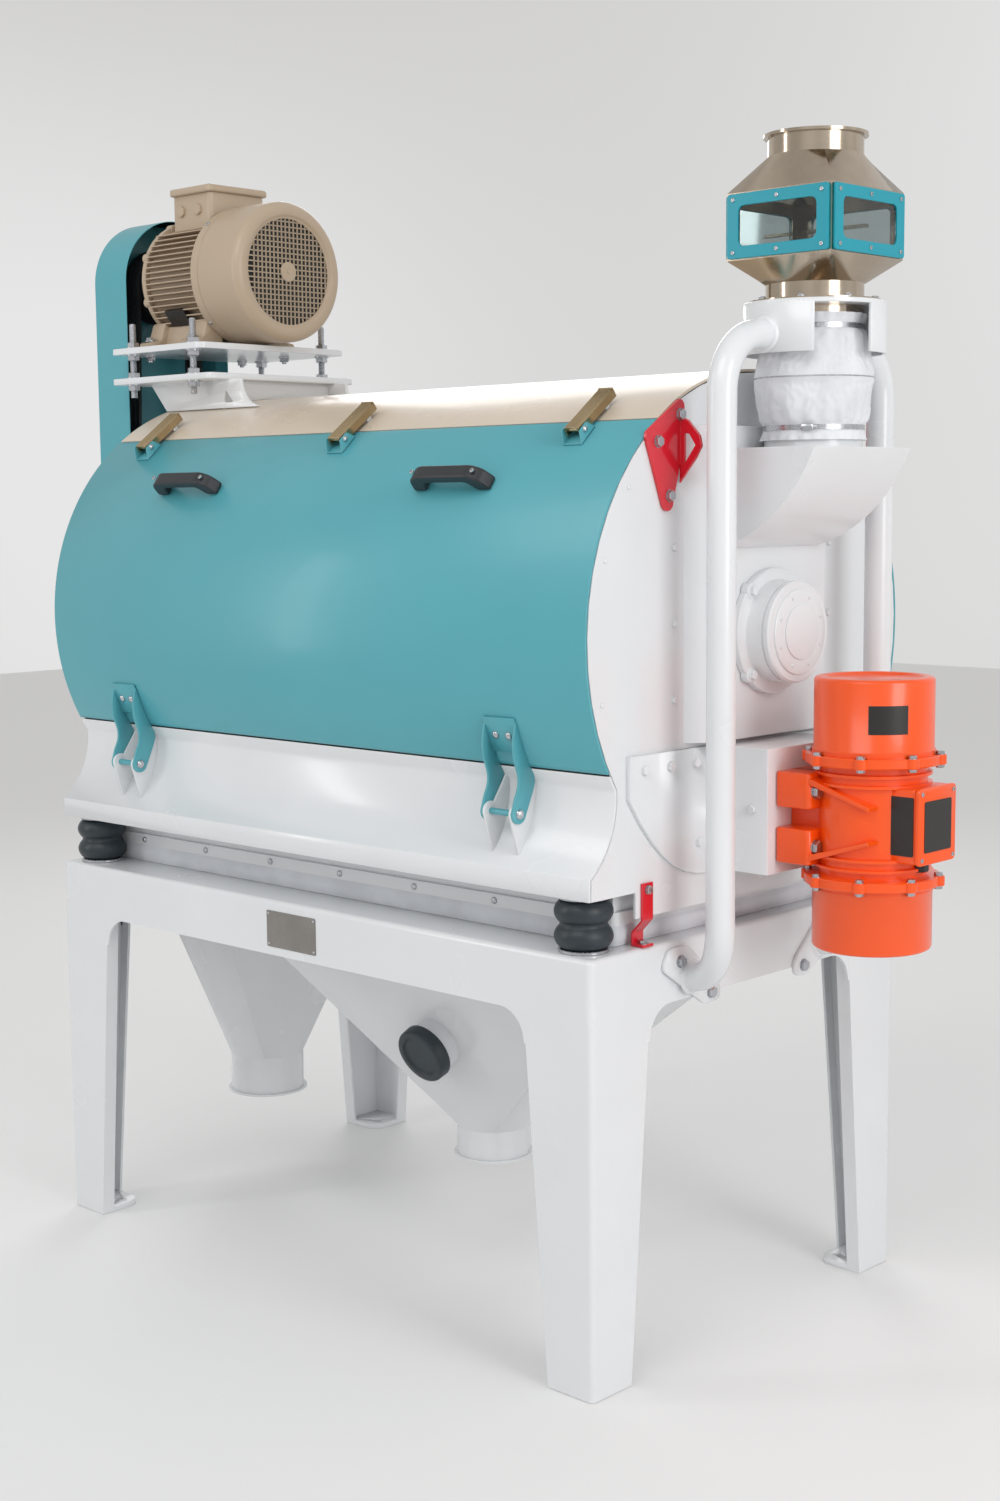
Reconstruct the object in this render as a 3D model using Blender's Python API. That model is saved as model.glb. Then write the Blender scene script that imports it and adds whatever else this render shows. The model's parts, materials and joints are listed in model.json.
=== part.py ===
"""Vibratory drum bran finisher for a flour mill.

A beater drum in a round sheet casing floats on four rubber buffers over an open
stand with two outlet hoppers.  A belt drive sits on top, an unbalance motor
shakes the casing from its right end, and bran enters through a sight glass and
a fabric sleeve.  Metres, +Z up, +X towards the inlet end, -Y the front side.
"""
import math

import bmesh
import bpy
from mathutils import Vector

# ---------------------------------------------------------------- fits and sheets
GAP = 0.0003                      # between pieces that touch
OVERLAP = 0.0015                  # how far joined shapes run into each other
CASING_SHEET = 0.005
STAND_SHEET = 0.006
HOPPER_SHEET = 0.004
STAINLESS_SHEET = 0.003

# ---------------------------------------------------------------- stand
STAND_LENGTH = 1.555
STAND_WIDTH = 0.933
STAND_HEIGHT = 0.800
FASCIA_DEPTH = 0.112
FRAME_LIP_DEPTH = 0.040
DECK_WIDTH_FRONT = 0.120
DECK_WIDTH_END = 0.053
LEG_WIDTH_FOOT = 0.107
LEG_WIDTH_TOP = 0.162
LEG_LIP = 0.030
FOOT_PLATE_THICKNESS = 0.012
FOOT_HOLE_RADIUS = 0.009

# ---------------------------------------------------------------- casing
CASING_LENGTH = 1.555
DRUM_RADIUS = 0.4775
DRUM_AXIS_Z = 1.348
DOOR_TOP_ANGLE = 53.4             # degrees above the horizontal
DOOR_BOTTOM_Z = 1.118
DOOR_GAP = 0.003
SKIRT_CURVE_Y = 0.570             # centre of the hollow curve below the doors
SKIRT_CURVE_Z = 1.078
SKIRT_CURVE_RADIUS = 0.170
SKIRT_LIP_Y = 0.470
BUFFER_HEIGHT = 0.101
BUFFER_RADIUS = 0.0525
BUFFER_X = 0.716
BUFFER_CLEARANCE = 0.0087         # between a buffer and the deck opening
TROUGH_DEPTH = 0.070
SEAL_HEIGHT = 0.062
SEAL_THICKNESS = 0.004
TAB_HALF_WIDTH = 0.345
TAB_DEPTH = 0.047
CHANNEL_HEIGHT = 0.035            # raised panel that carries the bearing
CHANNEL_HALF_WIDTH = 0.175
CHANNEL_BOTTOM_Z = 1.155
CHANNEL_TOP_Z = 1.720

# ---------------------------------------------------------------- drum inside
SCREEN_RADIUS = 0.285
SCREEN_THICKNESS = 0.003
SCREEN_LEFT_X = -0.500
SCREEN_RIGHT_X = 0.720
PARTITION_RADIUS = 0.420
SHAFT_RADIUS = 0.030
BEATER_TUBE_RADIUS = 0.090
BEATER_DISC_RADIUS = 0.220
BEATER_TIP_RADIUS = 0.268
BEATER_COUNT = 6
BEATER_DISC_COUNT = 4

# ---------------------------------------------------------------- bearings and drive
BEARING_FLANGE_RADIUS = 0.116
BEARING_HUB_RADIUS = 0.0935
BEARING_CAP_RADIUS = 0.067
BEARING_FLANGE_THICKNESS = 0.015
BEARING_HUB_LENGTH = 0.050
BEARING_CAP_LENGTH = 0.009
PULLEY_WIDTH = 0.070
MOTOR_PULLEY_RADIUS = 0.085
DRIVEN_PULLEY_RADIUS = 0.110
PULLEY_CENTRE_X = -0.985
BELT_THICKNESS = 0.009
GUARD_RADIUS = 0.150
GUARD_DEPTH = 0.120
GUARD_SHEET = 0.003

# ---------------------------------------------------------------- motor and its seat
MOTOR_SHAFT_HEIGHT = 0.160
MOTOR_FOOT_DROP = 0.0997          # from the shaft to the top of the feet
MOTOR_PLATE_Z = 1.932
MOTOR_PLATE_THICKNESS = 0.014
SEAT_PLATE_Z = 1.864
STUD_SPACING_X = 0.220
STUD_SPACING_Y = 0.381
STUD_RADIUS = 0.008
MOTOR_X = -0.738
MOTOR_LEFT_X = -0.905
MOTOR_SPLIT_X = -0.646
MOTOR_RIGHT_X = -0.513
MOTOR_BARREL_RADIUS = 0.140
COWL_RADIUS = 0.155
COWL_SHEET = 0.003
MOTOR_SHAFT_RADIUS = 0.021
TERMINAL_BOX_TOP_Z = 2.310

# ---------------------------------------------------------------- inlet
INLET_TOP_Z = 2.226
INLET_NECK_RADIUS = 0.0875
SIGHT_HALF_WIDTH = 0.111
SIGHT_BOTTOM_Z = 2.008
SIGHT_TOP_Z = 2.125
WINDOW_THICKNESS = 0.005
WINDOW_WIDTH = 0.214
WINDOW_HEIGHT = 0.112
WINDOW_BAR = 0.022
COLLAR_RADIUS = 0.127
COLLAR_TOP_Z = 1.934
COLLAR_SHELL_DEPTH = 0.083
COLLAR_SHEET = 0.006
SLEEVE_BOTTOM_Z = 1.692
SLEEVE_TOP_Z = 1.912
SLEEVE_BULGE = 0.014
SLEEVE_CLEARANCE = 0.0060          # between the inlet neck and the casing end
POST_SETBACK = 0.019
POST_Y = 0.244
POST_RADIUS = 0.026
POST_BEND = 0.105
CHUTE_TOP_Z = 1.679
CHUTE_HALF_WIDTH = 0.151
CHUTE_CURVE_X = 0.737
CHUTE_CURVE_Z = 1.792
CHUTE_CURVE_RADIUS = 0.300

# ---------------------------------------------------------------- unbalance motor
VIBRO_X = 1.042
VIBRO_BOTTOM_Z = 0.788
VIBRO_TOP_Z = 1.276
VIBRO_COVER_RADIUS = 0.1066
VIBRO_BODY_RADIUS = 0.098
VIBRO_FLANGE_RADIUS = 0.128
VIBRO_WEIGHT_RADIUS = 0.085
VIBRO_BOX_FACE_X = 1.175
BRACKET_FACE_X = 0.905
BRACKET_HALF_WIDTH = 0.130
BRACKET_BOTTOM_Z = 0.917
BRACKET_TOP_Z = 1.147
BRACKET_SHEET = 0.008

# ---------------------------------------------------------------- hoppers
HOPPER_SPLIT_X = -0.490
HOPPER_BEND_Z = 0.690
HOPPER_BEND_HALF_WIDTH = 0.250
SPOUT_BOTTOM_Z = 0.200
BRAN_SPOUT_X = -0.657
BRAN_SPOUT_RADIUS = 0.086
BRAN_NECK_Z = 0.290
FLOUR_SPOUT_X = 0.093
FLOUR_SPOUT_RADIUS = 0.078
FLOUR_NECK_Z = 0.265
SPOUT_LIP = 0.007
PORT_RADIUS = 0.055
PORT_Z = 0.475
PORT_LENGTH = 0.055
PORT_CAP_RADIUS = 0.0615
PORT_CAP_DEPTH = 0.022

# ---------------------------------------------------------------- doors and hardware
HINGE_X = 0.557
HINGE_Y = 0.450
HINGE_Z = 1.036
HINGE_EYE_RADIUS = 0.018
HINGE_PIN_RADIUS = 0.006
HINGE_PLATE = 0.005
HINGE_HALF_SPAN = 0.040
HANDLE_X = 0.390
HANDLE_ANGLE = 145.3              # around the drum axis, from +Y
HANDLE_LENGTH = 0.200
HANDLE_HEIGHT = 0.045
HANDLE_WIDTH = 0.028
LATCH_X = 0.628
LATCH_ANGLE = 132.0
LATCH_TILT = 5.0
LATCH_PIVOT_HEIGHT = 0.016
LATCH_LENGTH = 0.112
LATCH_WIDTH = 0.034
LATCH_SHEET = 0.003
LATCH_PIN_RADIUS = 0.004

# ---------------------------------------------------------------- derived places
HALF_LENGTH = STAND_LENGTH / 2
HALF_WIDTH = STAND_WIDTH / 2
FRAME_X = HALF_LENGTH + STAND_SHEET + GAP
FRAME_Y = HALF_WIDTH + STAND_SHEET + GAP
OPENING_X = FRAME_X - DECK_WIDTH_END
OPENING_Y = FRAME_Y - DECK_WIDTH_FRONT
FASCIA_BOTTOM_Z = STAND_HEIGHT - FASCIA_DEPTH
FRAME_LIP_Z = STAND_HEIGHT - FRAME_LIP_DEPTH
CASING_X = CASING_LENGTH / 2
PLATE_INNER_X = CASING_X - CASING_SHEET
PLATE_INSET = CASING_SHEET + 4 * GAP
CASING_BOTTOM_Z = STAND_HEIGHT + BUFFER_HEIGHT + GAP
TROUGH_X = OPENING_X + SEAL_THICKNESS
TROUGH_Y = OPENING_Y + SEAL_THICKNESS
BUFFER_Y = OPENING_Y + BUFFER_RADIUS + BUFFER_CLEARANCE
CHANNEL_X = CASING_X + CHANNEL_HEIGHT
BEARING_X = CHANNEL_X + GAP
BEARING_END_X = BEARING_X + BEARING_FLANGE_THICKNESS + BEARING_HUB_LENGTH
MOTOR_PLATE_TOP_Z = MOTOR_PLATE_Z + MOTOR_PLATE_THICKNESS
MOTOR_AXIS_Z = MOTOR_PLATE_TOP_Z + MOTOR_SHAFT_HEIGHT
SEAT_PLATE_TOP_Z = SEAT_PLATE_Z + MOTOR_PLATE_THICKNESS
GUARD_LEFT_X = PULLEY_CENTRE_X - GUARD_DEPTH / 2
GUARD_RIGHT_X = PULLEY_CENTRE_X + GUARD_DEPTH / 2
CHUTE_X = CHANNEL_X + GAP
INLET_X = CHUTE_X + INLET_NECK_RADIUS + SLEEVE_CLEARANCE
POST_X = INLET_X - POST_SETBACK
LATCH_PLACES = (("left", -LATCH_X), ("middle", 0.0), ("right", LATCH_X))
SIDE_PLACES = (("left", -1), ("right", 1))
CENTRE_X = (VIBRO_BOX_FACE_X + GUARD_LEFT_X) / 2

FINISHES = {
    "white_paint": ((0.78, 0.80, 0.80), 0.28, 0.0),
    "teal_paint": ((0.16, 0.48, 0.55), 0.30, 0.0),
    "frame_teal": ((0.0, 0.34, 0.43), 0.35, 0.0),
    "beige_paint": ((0.48, 0.38, 0.27), 0.42, 0.0),
    "orange_paint": ((0.87, 0.11, 0.014), 0.35, 0.0),
    "red_paint": ((0.69, 0.014, 0.028), 0.25, 0.0),
    "black_rubber": ((0.02, 0.03, 0.035), 0.75, 0.0),
    "black_plastic": ((0.02, 0.022, 0.025), 0.45, 0.0),
    "stainless": ((0.62, 0.58, 0.52), 0.18, 1.0),
    "machined_steel": ((0.45, 0.45, 0.46), 0.35, 1.0),
    "cast_iron": ((0.03, 0.035, 0.04), 0.60, 0.0),
    "white_fabric": ((0.80, 0.80, 0.79), 0.90, 0.0),
}


# ================================================================ scene helpers
def clear_scene():
    for old in list(bpy.data.objects):
        bpy.data.objects.remove(old)


def finish_material(name):
    """Return the Principled material of that name, made on first use."""
    material = bpy.data.materials.get(name)
    if material is None:
        colour, roughness, metallic = FINISHES[name]
        material = bpy.data.materials.new(name)
        material.use_nodes = True
        shader = material.node_tree.nodes["Principled BSDF"]
        shader.inputs["Base Color"].default_value = (*colour, 1.0)
        shader.inputs["Roughness"].default_value = roughness
        shader.inputs["Metallic"].default_value = metallic
    return material


def add_empty(name, location, parent=None):
    empty = bpy.data.objects.new(name, None)
    empty.location = location
    empty.parent = parent
    bpy.context.scene.collection.objects.link(empty)
    return empty


def place(shape, name, finish, pivot=(0.0, 0.0, 0.0)):
    """Name a shape, give it its finish and put its origin on its pivot."""
    shape.name = name
    shape.data.name = name
    for vertex in shape.data.vertices:
        vertex.co -= Vector(pivot)
    shape.location = pivot
    shape.parent = bpy.data.objects["machine"]
    shape.data.materials.clear()
    shape.data.materials.append(finish_material(finish))
    shape.data.shade_smooth()
    shape.data.set_sharp_from_angle(angle=math.radians(35))
    return shape


# ================================================================ shape helpers
def shape_from(loops, join_ends):
    """Bridge loops of equal length; close them into a ring or cap both ends."""
    mesh = bmesh.new()
    rings = [[mesh.verts.new(point) for point in loop] for loop in loops]
    count = len(rings[0])
    pairs = list(zip(rings, rings[1:]))
    if join_ends:
        pairs.append((rings[-1], rings[0]))
    else:
        mesh.faces.new(rings[0])
        mesh.faces.new(rings[-1])
    for first, second in pairs:
        for index in range(count):
            after = (index + 1) % count
            mesh.faces.new((first[index], first[after], second[after], second[index]))
    bmesh.ops.recalc_face_normals(mesh, faces=mesh.faces)
    data = bpy.data.meshes.new("shape")
    mesh.to_mesh(data)
    mesh.free()
    shape = bpy.data.objects.new("shape", data)
    bpy.context.scene.collection.objects.link(shape)
    return shape


def prism(outline, axis, low, high):
    """Extrude an outline along X, Y or Z; it is given in the other two axes."""
    def point(pair, level):
        if axis == "X":
            return (level, pair[0], pair[1])
        if axis == "Y":
            return (pair[0], level, pair[1])
        return (pair[0], pair[1], level)

    return shape_from([[point(pair, level) for pair in outline] for level in (low, high)], False)


def box(x_span, y_span, z_span):
    outline = [(x_span[0], y_span[0]), (x_span[1], y_span[0]),
               (x_span[1], y_span[1]), (x_span[0], y_span[1])]
    return prism(outline, "Z", z_span[0], z_span[1])


def centred_box(centre, half):
    return box(*[(middle - reach, middle + reach) for middle, reach in zip(centre, half)])


def arc(centre, radius, start, end, steps):
    """Points on a circle between two angles in degrees, both ends included."""
    points = []
    for index in range(steps + 1):
        angle = math.radians(start + (end - start) * index / steps)
        points.append((centre[0] + radius * math.cos(angle), centre[1] + radius * math.sin(angle)))
    return points


def turned(profile, axis, centre, segments):
    """Turn a closed profile of (radius, position) pairs that never reaches the axis."""
    loops = []
    for index in range(segments):
        angle = 2 * math.pi * index / segments
        loop = []
        for radius, level in profile:
            u, v = radius * math.cos(angle), radius * math.sin(angle)
            if axis == "X":
                loop.append((level, centre[0] + u, centre[1] + v))
            else:
                loop.append((centre[0] + u, centre[1] + v, level))
        loops.append(loop)
    return shape_from(loops, True)


def bar(axis, centre, radius, low, high, segments=24):
    """A plain round bar."""
    return prism(arc(centre, radius, 0, 360 - 360 / segments, segments - 1), axis, low, high)


def stepped_bar(steps, axis, centre, segments):
    """A solid round bar of (radius, position) steps, capped at both ends."""
    loops = []
    for radius, level in steps:
        circle = arc(centre, radius, 0, 360 - 360 / segments, segments - 1)
        if axis == "X":
            loops.append([(level, u, v) for u, v in circle])
        else:
            loops.append([(u, v, level) for u, v in circle])
    return shape_from(loops, False)


def tube_along(path, radius, sides):
    """Sweep a circle along a smooth path of points."""
    points = [Vector(point) for point in path]
    loops = []
    side = None
    for index, point in enumerate(points):
        before = points[max(index - 1, 0)]
        after = points[min(index + 1, len(points) - 1)]
        ahead = (after - before).normalized()
        if side is None:
            side = ahead.orthogonal().normalized()
        side = (side - ahead * side.dot(ahead)).normalized()
        other = ahead.cross(side)
        loop = []
        for turn in range(sides):
            angle = 2 * math.pi * turn / sides
            loop.append(point + radius * (math.cos(angle) * side + math.sin(angle) * other))
        loops.append(loop)
    return shape_from(loops, False)


def rectangle_loop(x_span, y_span, z, per_side=1):
    """Corner points of a rectangle, with extra points along each side if asked."""
    corners = [(x_span[0], y_span[0]), (x_span[1], y_span[0]),
               (x_span[1], y_span[1]), (x_span[0], y_span[1])]
    loop = []
    for start, end in zip(corners, corners[1:] + corners[:1]):
        for index in range(per_side):
            share = index / per_side
            loop.append((start[0] + (end[0] - start[0]) * share,
                         start[1] + (end[1] - start[1]) * share, z))
    return loop


def circle_loop(centre, radius, z, count):
    """A circle whose first point lies towards the rectangle's first corner."""
    points = arc(centre, radius, -135, 225 - 360 / count, count - 1)
    return [(u, v, z) for u, v in points]


def rectangle_ring(sections):
    """A closed frame round the Z axis from (half x, half y, z) sections."""
    loops = [rectangle_loop((-half_x, half_x), (-half_y, half_y), z)
             for half_x, half_y, z in sections]
    return shape_from(loops, True)


def combine(base, tool, operation):
    """Union or cut one shape with another and drop the tool."""
    modifier = base.modifiers.new("shape", "BOOLEAN")
    modifier.operation = operation
    modifier.solver = "EXACT"
    modifier.object = tool
    depsgraph = bpy.context.evaluated_depsgraph_get()
    data = bpy.data.meshes.new_from_object(base.evaluated_get(depsgraph))
    base.modifiers.clear()
    base.data = data
    bpy.data.objects.remove(tool)
    return base


def join(base, *tools):
    for tool in tools:
        combine(base, tool, "UNION")
    return base


def cut(base, *tools):
    for tool in tools:
        combine(base, tool, "DIFFERENCE")
    return base


def mirror(shape, axis):
    """Reflect a shape through the middle plane across X or Y."""
    index = "XYZ".index(axis)
    for vertex in shape.data.vertices:
        vertex.co[index] = -vertex.co[index]
    shape.data.flip_normals()
    return shape


def drum_frame(angle):
    """Outward and upward unit directions at an angle on the front of the drum."""
    turn = math.radians(angle)
    outward = Vector((0.0, math.cos(turn), math.sin(turn)))
    upward = Vector((0.0, math.sin(turn), -math.cos(turn)))
    return outward, upward


def framed_prism(outline, origin, first, second, depth, low, high):
    """Extrude an outline given along two directions, through a third one."""
    loops = []
    for level in (low, high):
        loops.append([origin + first * u + second * v + depth * level for u, v in outline])
    return shape_from(loops, False)


def rectangle(u_span, v_span):
    return [(u_span[0], v_span[0]), (u_span[1], v_span[0]),
            (u_span[1], v_span[1]), (u_span[0], v_span[1])]


# ================================================================ casing outline
def front_y(z, inset):
    """Y of the front casing surface at a height, moved inward by inset."""
    if z >= waist_point(inset)[1]:
        reach = DRUM_RADIUS - inset
        return -math.sqrt(reach ** 2 - (z - DRUM_AXIS_Z) ** 2)
    reach = SKIRT_CURVE_RADIUS + inset
    return -SKIRT_CURVE_Y + math.sqrt(reach ** 2 - (z - SKIRT_CURVE_Z) ** 2)


def waist_point(inset):
    """Where the drum circle meets the hollow skirt curve, on the front side."""
    drum = DRUM_RADIUS - inset
    hollow = SKIRT_CURVE_RADIUS + inset
    across = Vector((-SKIRT_CURVE_Y, SKIRT_CURVE_Z - DRUM_AXIS_Z))
    span = across.length
    along = (drum ** 2 - hollow ** 2 + span ** 2) / (2 * span)
    aside = math.sqrt(drum ** 2 - along ** 2)
    ahead = across.normalized()
    sideways = Vector((-ahead.y, ahead.x))
    point = ahead * along + sideways * aside
    return (point.x, DRUM_AXIS_Z + point.y)


def hollow_points(inset, steps):
    """The hollow curve from the waist down to the lip, on the front side."""
    centre = (-SKIRT_CURVE_Y, SKIRT_CURVE_Z)
    reach = SKIRT_CURVE_RADIUS + inset
    waist = waist_point(inset)
    start = math.degrees(math.atan2(waist[1] - centre[1], waist[0] - centre[0]))
    lip = (SKIRT_CURVE_Y - SKIRT_LIP_Y + inset) / reach
    return arc(centre, reach, start, -math.degrees(math.acos(lip)), steps)


def circle_angle(y, z):
    return math.degrees(math.atan2(z - DRUM_AXIS_Z, y)) % 360


def end_plate_outline():
    """Outline of an end plate, just inside the sheets that wrap it."""
    start = circle_angle(*waist_point(PLATE_INSET))
    over_top = arc((0.0, DRUM_AXIS_Z), DRUM_RADIUS - PLATE_INSET, start, 180 - start, 36)
    front = hollow_points(PLATE_INSET, 8)[1:]
    front.append((PLATE_INSET - SKIRT_LIP_Y, CASING_BOTTOM_Z))
    front.append((-TAB_HALF_WIDTH, CASING_BOTTOM_Z))
    front.append((-TAB_HALF_WIDTH, CASING_BOTTOM_Z - TAB_DEPTH))
    rear = [(-y, z) for y, z in front]
    return over_top + rear + list(reversed(front))


def sheet_outline(start, end, steps):
    """A curved sheet of the drum between two angles around its axis."""
    centre = (0.0, DRUM_AXIS_Z)
    outer = arc(centre, DRUM_RADIUS, start, end, steps)
    inner = arc(centre, DRUM_RADIUS - CASING_SHEET, end, start, steps)
    return outer + inner


# ================================================================ stand
def make_stand_frame():
    skin = STAND_SHEET
    shape = rectangle_ring([
        (FRAME_X, FRAME_Y, FASCIA_BOTTOM_Z),
        (FRAME_X, FRAME_Y, STAND_HEIGHT),
        (OPENING_X, OPENING_Y, STAND_HEIGHT),
        (OPENING_X, OPENING_Y, FRAME_LIP_Z),
        (OPENING_X + skin, OPENING_Y + skin, FRAME_LIP_Z),
        (OPENING_X + skin, OPENING_Y + skin, STAND_HEIGHT - skin),
        (FRAME_X - skin, FRAME_Y - skin, STAND_HEIGHT - skin),
        (FRAME_X - skin, FRAME_Y - skin, FASCIA_BOTTOM_Z),
    ])
    place(shape, "stand_frame", "white_paint")


def leg_section(width):
    """One L of folded sheet, as distances inward from its outer corner."""
    skin = STAND_SHEET
    return [(0, 0), (width, 0), (width, LEG_LIP), (width - skin, LEG_LIP), (width - skin, skin),
            (skin, skin), (skin, width - skin), (LEG_LIP, width - skin), (LEG_LIP, width), (0, width)]


def make_leg(name, side_x, side_y):
    top_z = FRAME_LIP_Z - GAP

    def section(width, z):
        return [(side_x * (HALF_LENGTH - u), side_y * (HALF_WIDTH - v), z)
                for u, v in leg_section(width)]

    shape = shape_from([section(LEG_WIDTH_FOOT, 0.001), section(LEG_WIDTH_TOP, top_z)], False)
    near = STAND_SHEET / 2
    far = LEG_WIDTH_FOOT - OVERLAP
    nose = arc((far - LEG_WIDTH_FOOT / 3, far - LEG_WIDTH_FOOT / 3), LEG_WIDTH_FOOT / 3, 0, 90, 5)
    outline = [(near, near), (far, near)] + nose + [(near, far)]
    outline = [(side_x * (HALF_LENGTH - u), side_y * (HALF_WIDTH - v)) for u, v in outline]
    foot = prism(outline, "Z", 0.0, FOOT_PLATE_THICKNESS)
    join(shape, foot)
    hole_reach = LEG_WIDTH_FOOT * 0.6
    hole_centre = (side_x * (HALF_LENGTH - hole_reach), side_y * (HALF_WIDTH - hole_reach))
    cut(shape, bar("Z", hole_centre, FOOT_HOLE_RADIUS, -0.01, FOOT_PLATE_THICKNESS + 0.01, 12))
    place(shape, name, "white_paint")


def make_legs():
    for end, side_x in SIDE_PLACES:
        make_leg("leg_front_" + end, side_x, -1)
        make_leg("leg_rear_" + end, side_x, 1)


def make_hopper_shape(top_x, bend_x, spout_x, spout_radius, neck_z):
    """A sheet hopper from the frame opening down to a round spout with a lip."""
    top_half = OPENING_Y - GAP
    bend_half = HOPPER_BEND_HALF_WIDTH
    per_side = 8
    skin = HOPPER_SHEET

    def rectangle_at(x_span, half, z, inset):
        span = (x_span[0] + inset, x_span[1] - inset)
        return rectangle_loop(span, (inset - half, half - inset), z, per_side)

    def circle_at(radius, z):
        return circle_loop((spout_x, 0.0), radius, z, 4 * per_side)

    top_z = STAND_HEIGHT - STAND_SHEET
    lip_z = SPOUT_BOTTOM_Z + 0.005
    loops = [
        rectangle_at(top_x, top_half, top_z, 0),
        rectangle_at(top_x, top_half, FRAME_LIP_Z, 0),
        rectangle_at(bend_x, bend_half, HOPPER_BEND_Z, 0),
        circle_at(spout_radius, neck_z),
        circle_at(spout_radius, lip_z),
        circle_at(spout_radius + SPOUT_LIP, lip_z),
        circle_at(spout_radius + SPOUT_LIP, SPOUT_BOTTOM_Z),
        circle_at(spout_radius - skin, SPOUT_BOTTOM_Z),
        circle_at(spout_radius - skin, neck_z),
        rectangle_at(bend_x, bend_half, HOPPER_BEND_Z, skin),
        rectangle_at(top_x, top_half, FRAME_LIP_Z, skin),
        rectangle_at(top_x, top_half, top_z, skin),
    ]
    return shape_from(loops, True)


def port_face():
    """Middle of the cleaning port on the flour hopper's front wall, and its axis."""
    drop = HOPPER_BEND_Z - FLOUR_NECK_Z
    lean = HOPPER_BEND_HALF_WIDTH - FLOUR_SPOUT_RADIUS
    share = (PORT_Z - FLOUR_NECK_Z) / drop
    face = Vector((FLOUR_SPOUT_X, -(FLOUR_SPOUT_RADIUS + lean * share), PORT_Z))
    axis = Vector((0.0, -drop, -lean)).normalized()
    return face, axis


def port_ring(outer, inner, low, high):
    """A short tube on the port axis, from low to high above the wall."""
    face, axis = port_face()
    first = Vector((1.0, 0.0, 0.0))
    second = axis.cross(first)
    loops = []
    for radius, level in ((outer, low), (outer, high), (inner, high), (inner, low)):
        loops.append([face + axis * level + first * u + second * v
                      for u, v in arc((0, 0), radius, 0, 360 - 15, 23)])
    return shape_from(loops, True)


def port_plug(radius, low, high):
    face, axis = port_face()
    first = Vector((1.0, 0.0, 0.0))
    return framed_prism(arc((0, 0), radius, 0, 360 - 15, 23), face, first,
                        axis.cross(first), axis, low, high)


def make_hoppers():
    far_x = OPENING_X - GAP
    bran = make_hopper_shape((-far_x, HOPPER_SPLIT_X - GAP), (-0.720, -0.510),
                             BRAN_SPOUT_X, BRAN_SPOUT_RADIUS, BRAN_NECK_Z)
    place(bran, "bran_hopper", "white_paint")
    flour = make_hopper_shape((HOPPER_SPLIT_X + GAP, far_x), (-0.450, 0.620),
                              FLOUR_SPOUT_X, FLOUR_SPOUT_RADIUS, FLOUR_NECK_Z)
    bore = PORT_RADIUS - HOPPER_SHEET
    join(flour, port_plug(PORT_RADIUS, -0.004, PORT_LENGTH))
    cut(flour, port_plug(bore, -0.030, PORT_LENGTH + 0.01))
    place(flour, "flour_hopper", "white_paint")


def make_port_cap():
    """Rubber cap pushed over the cleaning port."""
    inside = PORT_LENGTH + GAP
    shape = port_plug(PORT_CAP_RADIUS, PORT_LENGTH - PORT_CAP_DEPTH, PORT_LENGTH + 0.006)
    cut(shape, port_plug(PORT_RADIUS + GAP, PORT_LENGTH - PORT_CAP_DEPTH - 0.01, inside))
    face, axis = port_face()
    place(shape, "port_cap", "black_rubber", face + axis * PORT_LENGTH)


def make_buffer(name, side_x, side_y):
    """Rubber buffer with two bulges round a waist."""
    low = STAND_HEIGHT + GAP
    centre = (side_x * BUFFER_X, side_y * BUFFER_Y)
    steps = []
    for radius, share in ((0.70, 0.0), (1.0, 0.16), (1.0, 0.34), (0.80, 0.50),
                          (1.0, 0.66), (1.0, 0.84), (0.70, 1.0)):
        steps.append((radius * BUFFER_RADIUS, low + share * BUFFER_HEIGHT - share * GAP))
    place(stepped_bar(steps, "Z", centre, 14), name, "black_rubber")


def make_seal_skirt():
    """Fabric seal between the casing trough and the deck."""
    low = STAND_HEIGHT + GAP
    high = STAND_HEIGHT + SEAL_HEIGHT
    inner_x = TROUGH_X + GAP
    inner_y = TROUGH_Y + GAP
    outer_x = inner_x + SEAL_THICKNESS
    outer_y = inner_y + SEAL_THICKNESS
    shape = rectangle_ring([(outer_x, outer_y, low), (outer_x, outer_y, high),
                            (inner_x, inner_y, high), (inner_x, inner_y, low)])
    place(shape, "seal_skirt", "white_fabric")


def make_transport_lock(name, side_y):
    """Cranked strap that ties the casing to the deck during transport."""
    skin = 0.005
    face = CASING_X + GAP
    foot_x = 0.755
    deck_z = STAND_HEIGHT + GAP
    jog_high = CASING_BOTTOM_Z - TAB_DEPTH - skin
    jog_low = jog_high - 0.024
    top_z = CASING_BOTTOM_Z + 0.015
    outline = [(face + skin, top_z), (face + skin, jog_high), (foot_x + skin, jog_low),
               (foot_x + skin, deck_z + skin), (FRAME_X, deck_z + skin), (FRAME_X, deck_z),
               (foot_x, deck_z), (foot_x, jog_low), (face, jog_high), (face, top_z)]
    centre = side_y * 0.317
    place(prism(outline, "Y", centre - 0.015, centre + 0.015), name, "red_paint")


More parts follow.
